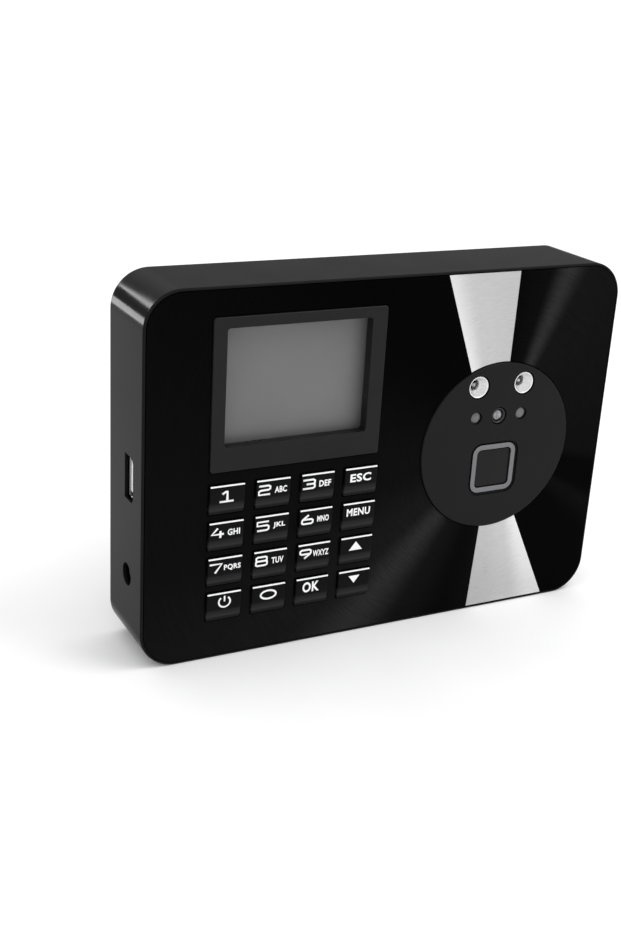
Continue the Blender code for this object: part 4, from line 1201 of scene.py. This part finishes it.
def makeScrews():
    for number in range(1, 5):
        node = f"cover_screw_{number}"
        low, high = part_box(node)
        centre = centreOf(node)
        back, tip = high.y / mm, low.y / mm
        profile = [(0, tip), (0.7, tip + 0.5), (1.05, tip + 1.2), (1.05, back - 1.1), (2.7, back - 0.9),
                   (2.7, back - 0.55), (2.45, back - 0.2), (1.9, back), (0, back)]
        screw = spinProfile(f"coverScrew_{number}", profile, centre, steps=40)
        arms = []
        for wide, tall in ((0.35, 1.5), (1.5, 0.35)):
            arms.append(addBox("arm", (centre.x - wide * mm, (back - 0.6) * mm, centre.z - tall * mm),
                               (centre.x + wide * mm, (back + 1) * mm, centre.z + tall * mm)))
        boolean(arms[0], [arms[1]], "UNION")
        boolean(screw, [arms[0]])
        activate(screw)
        bpy.ops.object.shade_smooth_by_angle(angle=math.radians(35))
        keep(screw, zincScrew, stands=[node])


def finishInside():
    # the pieces inside stay as built and get their finishes
    finishes = {
        circuitBoard: ["main_board", "keypad_board", "sensor_board"],
        siliconeMat: ["keypad_mat"],
        nickelSteel: ["lcd_frame", "coin_cell", "speaker_frame"],
        zincScrew: [f"board_screw_{number}" for number in range(1, 5)],
        socketNylon: ["cell_holder", "fingerprint_module"],
        flatCable: ["display_ribbon", "keypad_ribbon", "sensor_ribbon"],
        coneFibre: ["speaker_cone"],
    }
    for finish, nodes in finishes.items():
        for node in nodes:
            frame["nodes"][node].material_slots[0].material = finish


# Studio

cameraValues = {"place": (-217.8 * mm, -370.2 * mm, 218.4 * mm), "azimuth": -27.84, "elevation": 21.0,
                "roll": 3.3, "lens": 51.53, "sensor": 36.0}


def addCamera():
    values = cameraValues
    turn = Euler((math.radians(90 - values["elevation"]), 0, math.radians(values["azimuth"]))).to_matrix()
    turn = turn @ Matrix.Rotation(math.radians(values["roll"]), 3, "Z")
    bpy.ops.object.camera_add(location=values["place"], rotation=turn.to_euler())
    camera = bpy.context.object
    camera.data.lens = values["lens"]
    camera.data.sensor_width = values["sensor"]
    camera.data.clip_start = 0.01
    camera.data.clip_end = 50
    bpy.context.scene.camera = camera


def addSoftbox(name, place, target, size, power):
    place, target = Vector(place), Vector(target)
    turn = (target - place).to_track_quat("-Z", "Y").to_euler()
    bpy.ops.object.light_add(type="AREA", location=place, rotation=turn)
    light = bpy.context.object
    light.name = name
    light.data.shape = "RECTANGLE"
    light.data.size, light.data.size_y = size
    light.data.energy = power
    light.visible_camera = False
    return light


def addStudio():
    deselectAll()
    bpy.ops.mesh.primitive_circle_add(vertices=96, radius=14, fill_type="NGON")
    floor = newest("floor")
    floor.data.materials.append(makeFloorFinish())
    world = bpy.data.worlds.new("studio")
    bpy.context.scene.world = world
    world.use_nodes = True
    # an even white room, but grey low down behind the case, so its sides and top mirror less light
    tree = world.node_tree
    way = addNode(tree, "SeparateXYZ", links={0: addNode(tree, "TexCoord").outputs["Generated"]})
    height = addNode(tree, "MapRange", {"From Min": 0.2, "From Max": 0.5}, {"Value": way.outputs["Z"]})
    front = addNode(tree, "MapRange", {"From Min": 0.5, "From Max": 0.0}, {"Value": way.outputs["Y"]})
    lit = addNode(tree, "Math", links={0: height.outputs["Result"], 1: front.outputs["Result"]},
                  operation="MAXIMUM")
    grey = addRamp(tree, lit.outputs[0], [(0.0, "8C8C8C"), (1.0, "FFFFFF")], "EASE")
    direct = addNode(tree, "LightPath").outputs["Is Camera Ray"]
    seen = addNode(tree, "Mix", {7: (1, 1, 1, 1)}, {0: direct, 6: grey}, data_type="RGBA")
    tree.links.new(seen.outputs[2], tree.nodes["Background"].inputs["Color"])
    tree.nodes["Background"].inputs["Strength"].default_value = 1.2
    addSoftbox("keyLight", (0.45, -0.36, 0.95), (0, 0, 60 * mm), (0.5, 0.5), 3)
    corner = (-80 * mm, 0, 118 * mm)
    # two panes behind and to the left leave light bands on the upper left corner
    for name, place, size, power in (("lowPane", (-0.581, 0.743, 0.045), (0.4, 0.16), 3.0),
                                     ("highPane", (-0.466, 0.743, 0.45), (0.3, 0.26), 5.0)):
        addSoftbox(name, place, corner, size, power).visible_diffuse = False
    bpy.context.scene.view_settings.view_transform = "Standard"


print("case and panel")
makeShell()
makePanel()
print("display")
makeDisplay()
print("keys")
makeKeys()
print("sensor disc")
makeDisc()
makeLamps()
makeSmallLights()
makeCamera()
makeFingerReader()
print("sockets and back")
makeUsb()
makePowerSocket()
makeCover()
makeScrews()
finishInside()
print("studio")
addCamera()
addStudio()
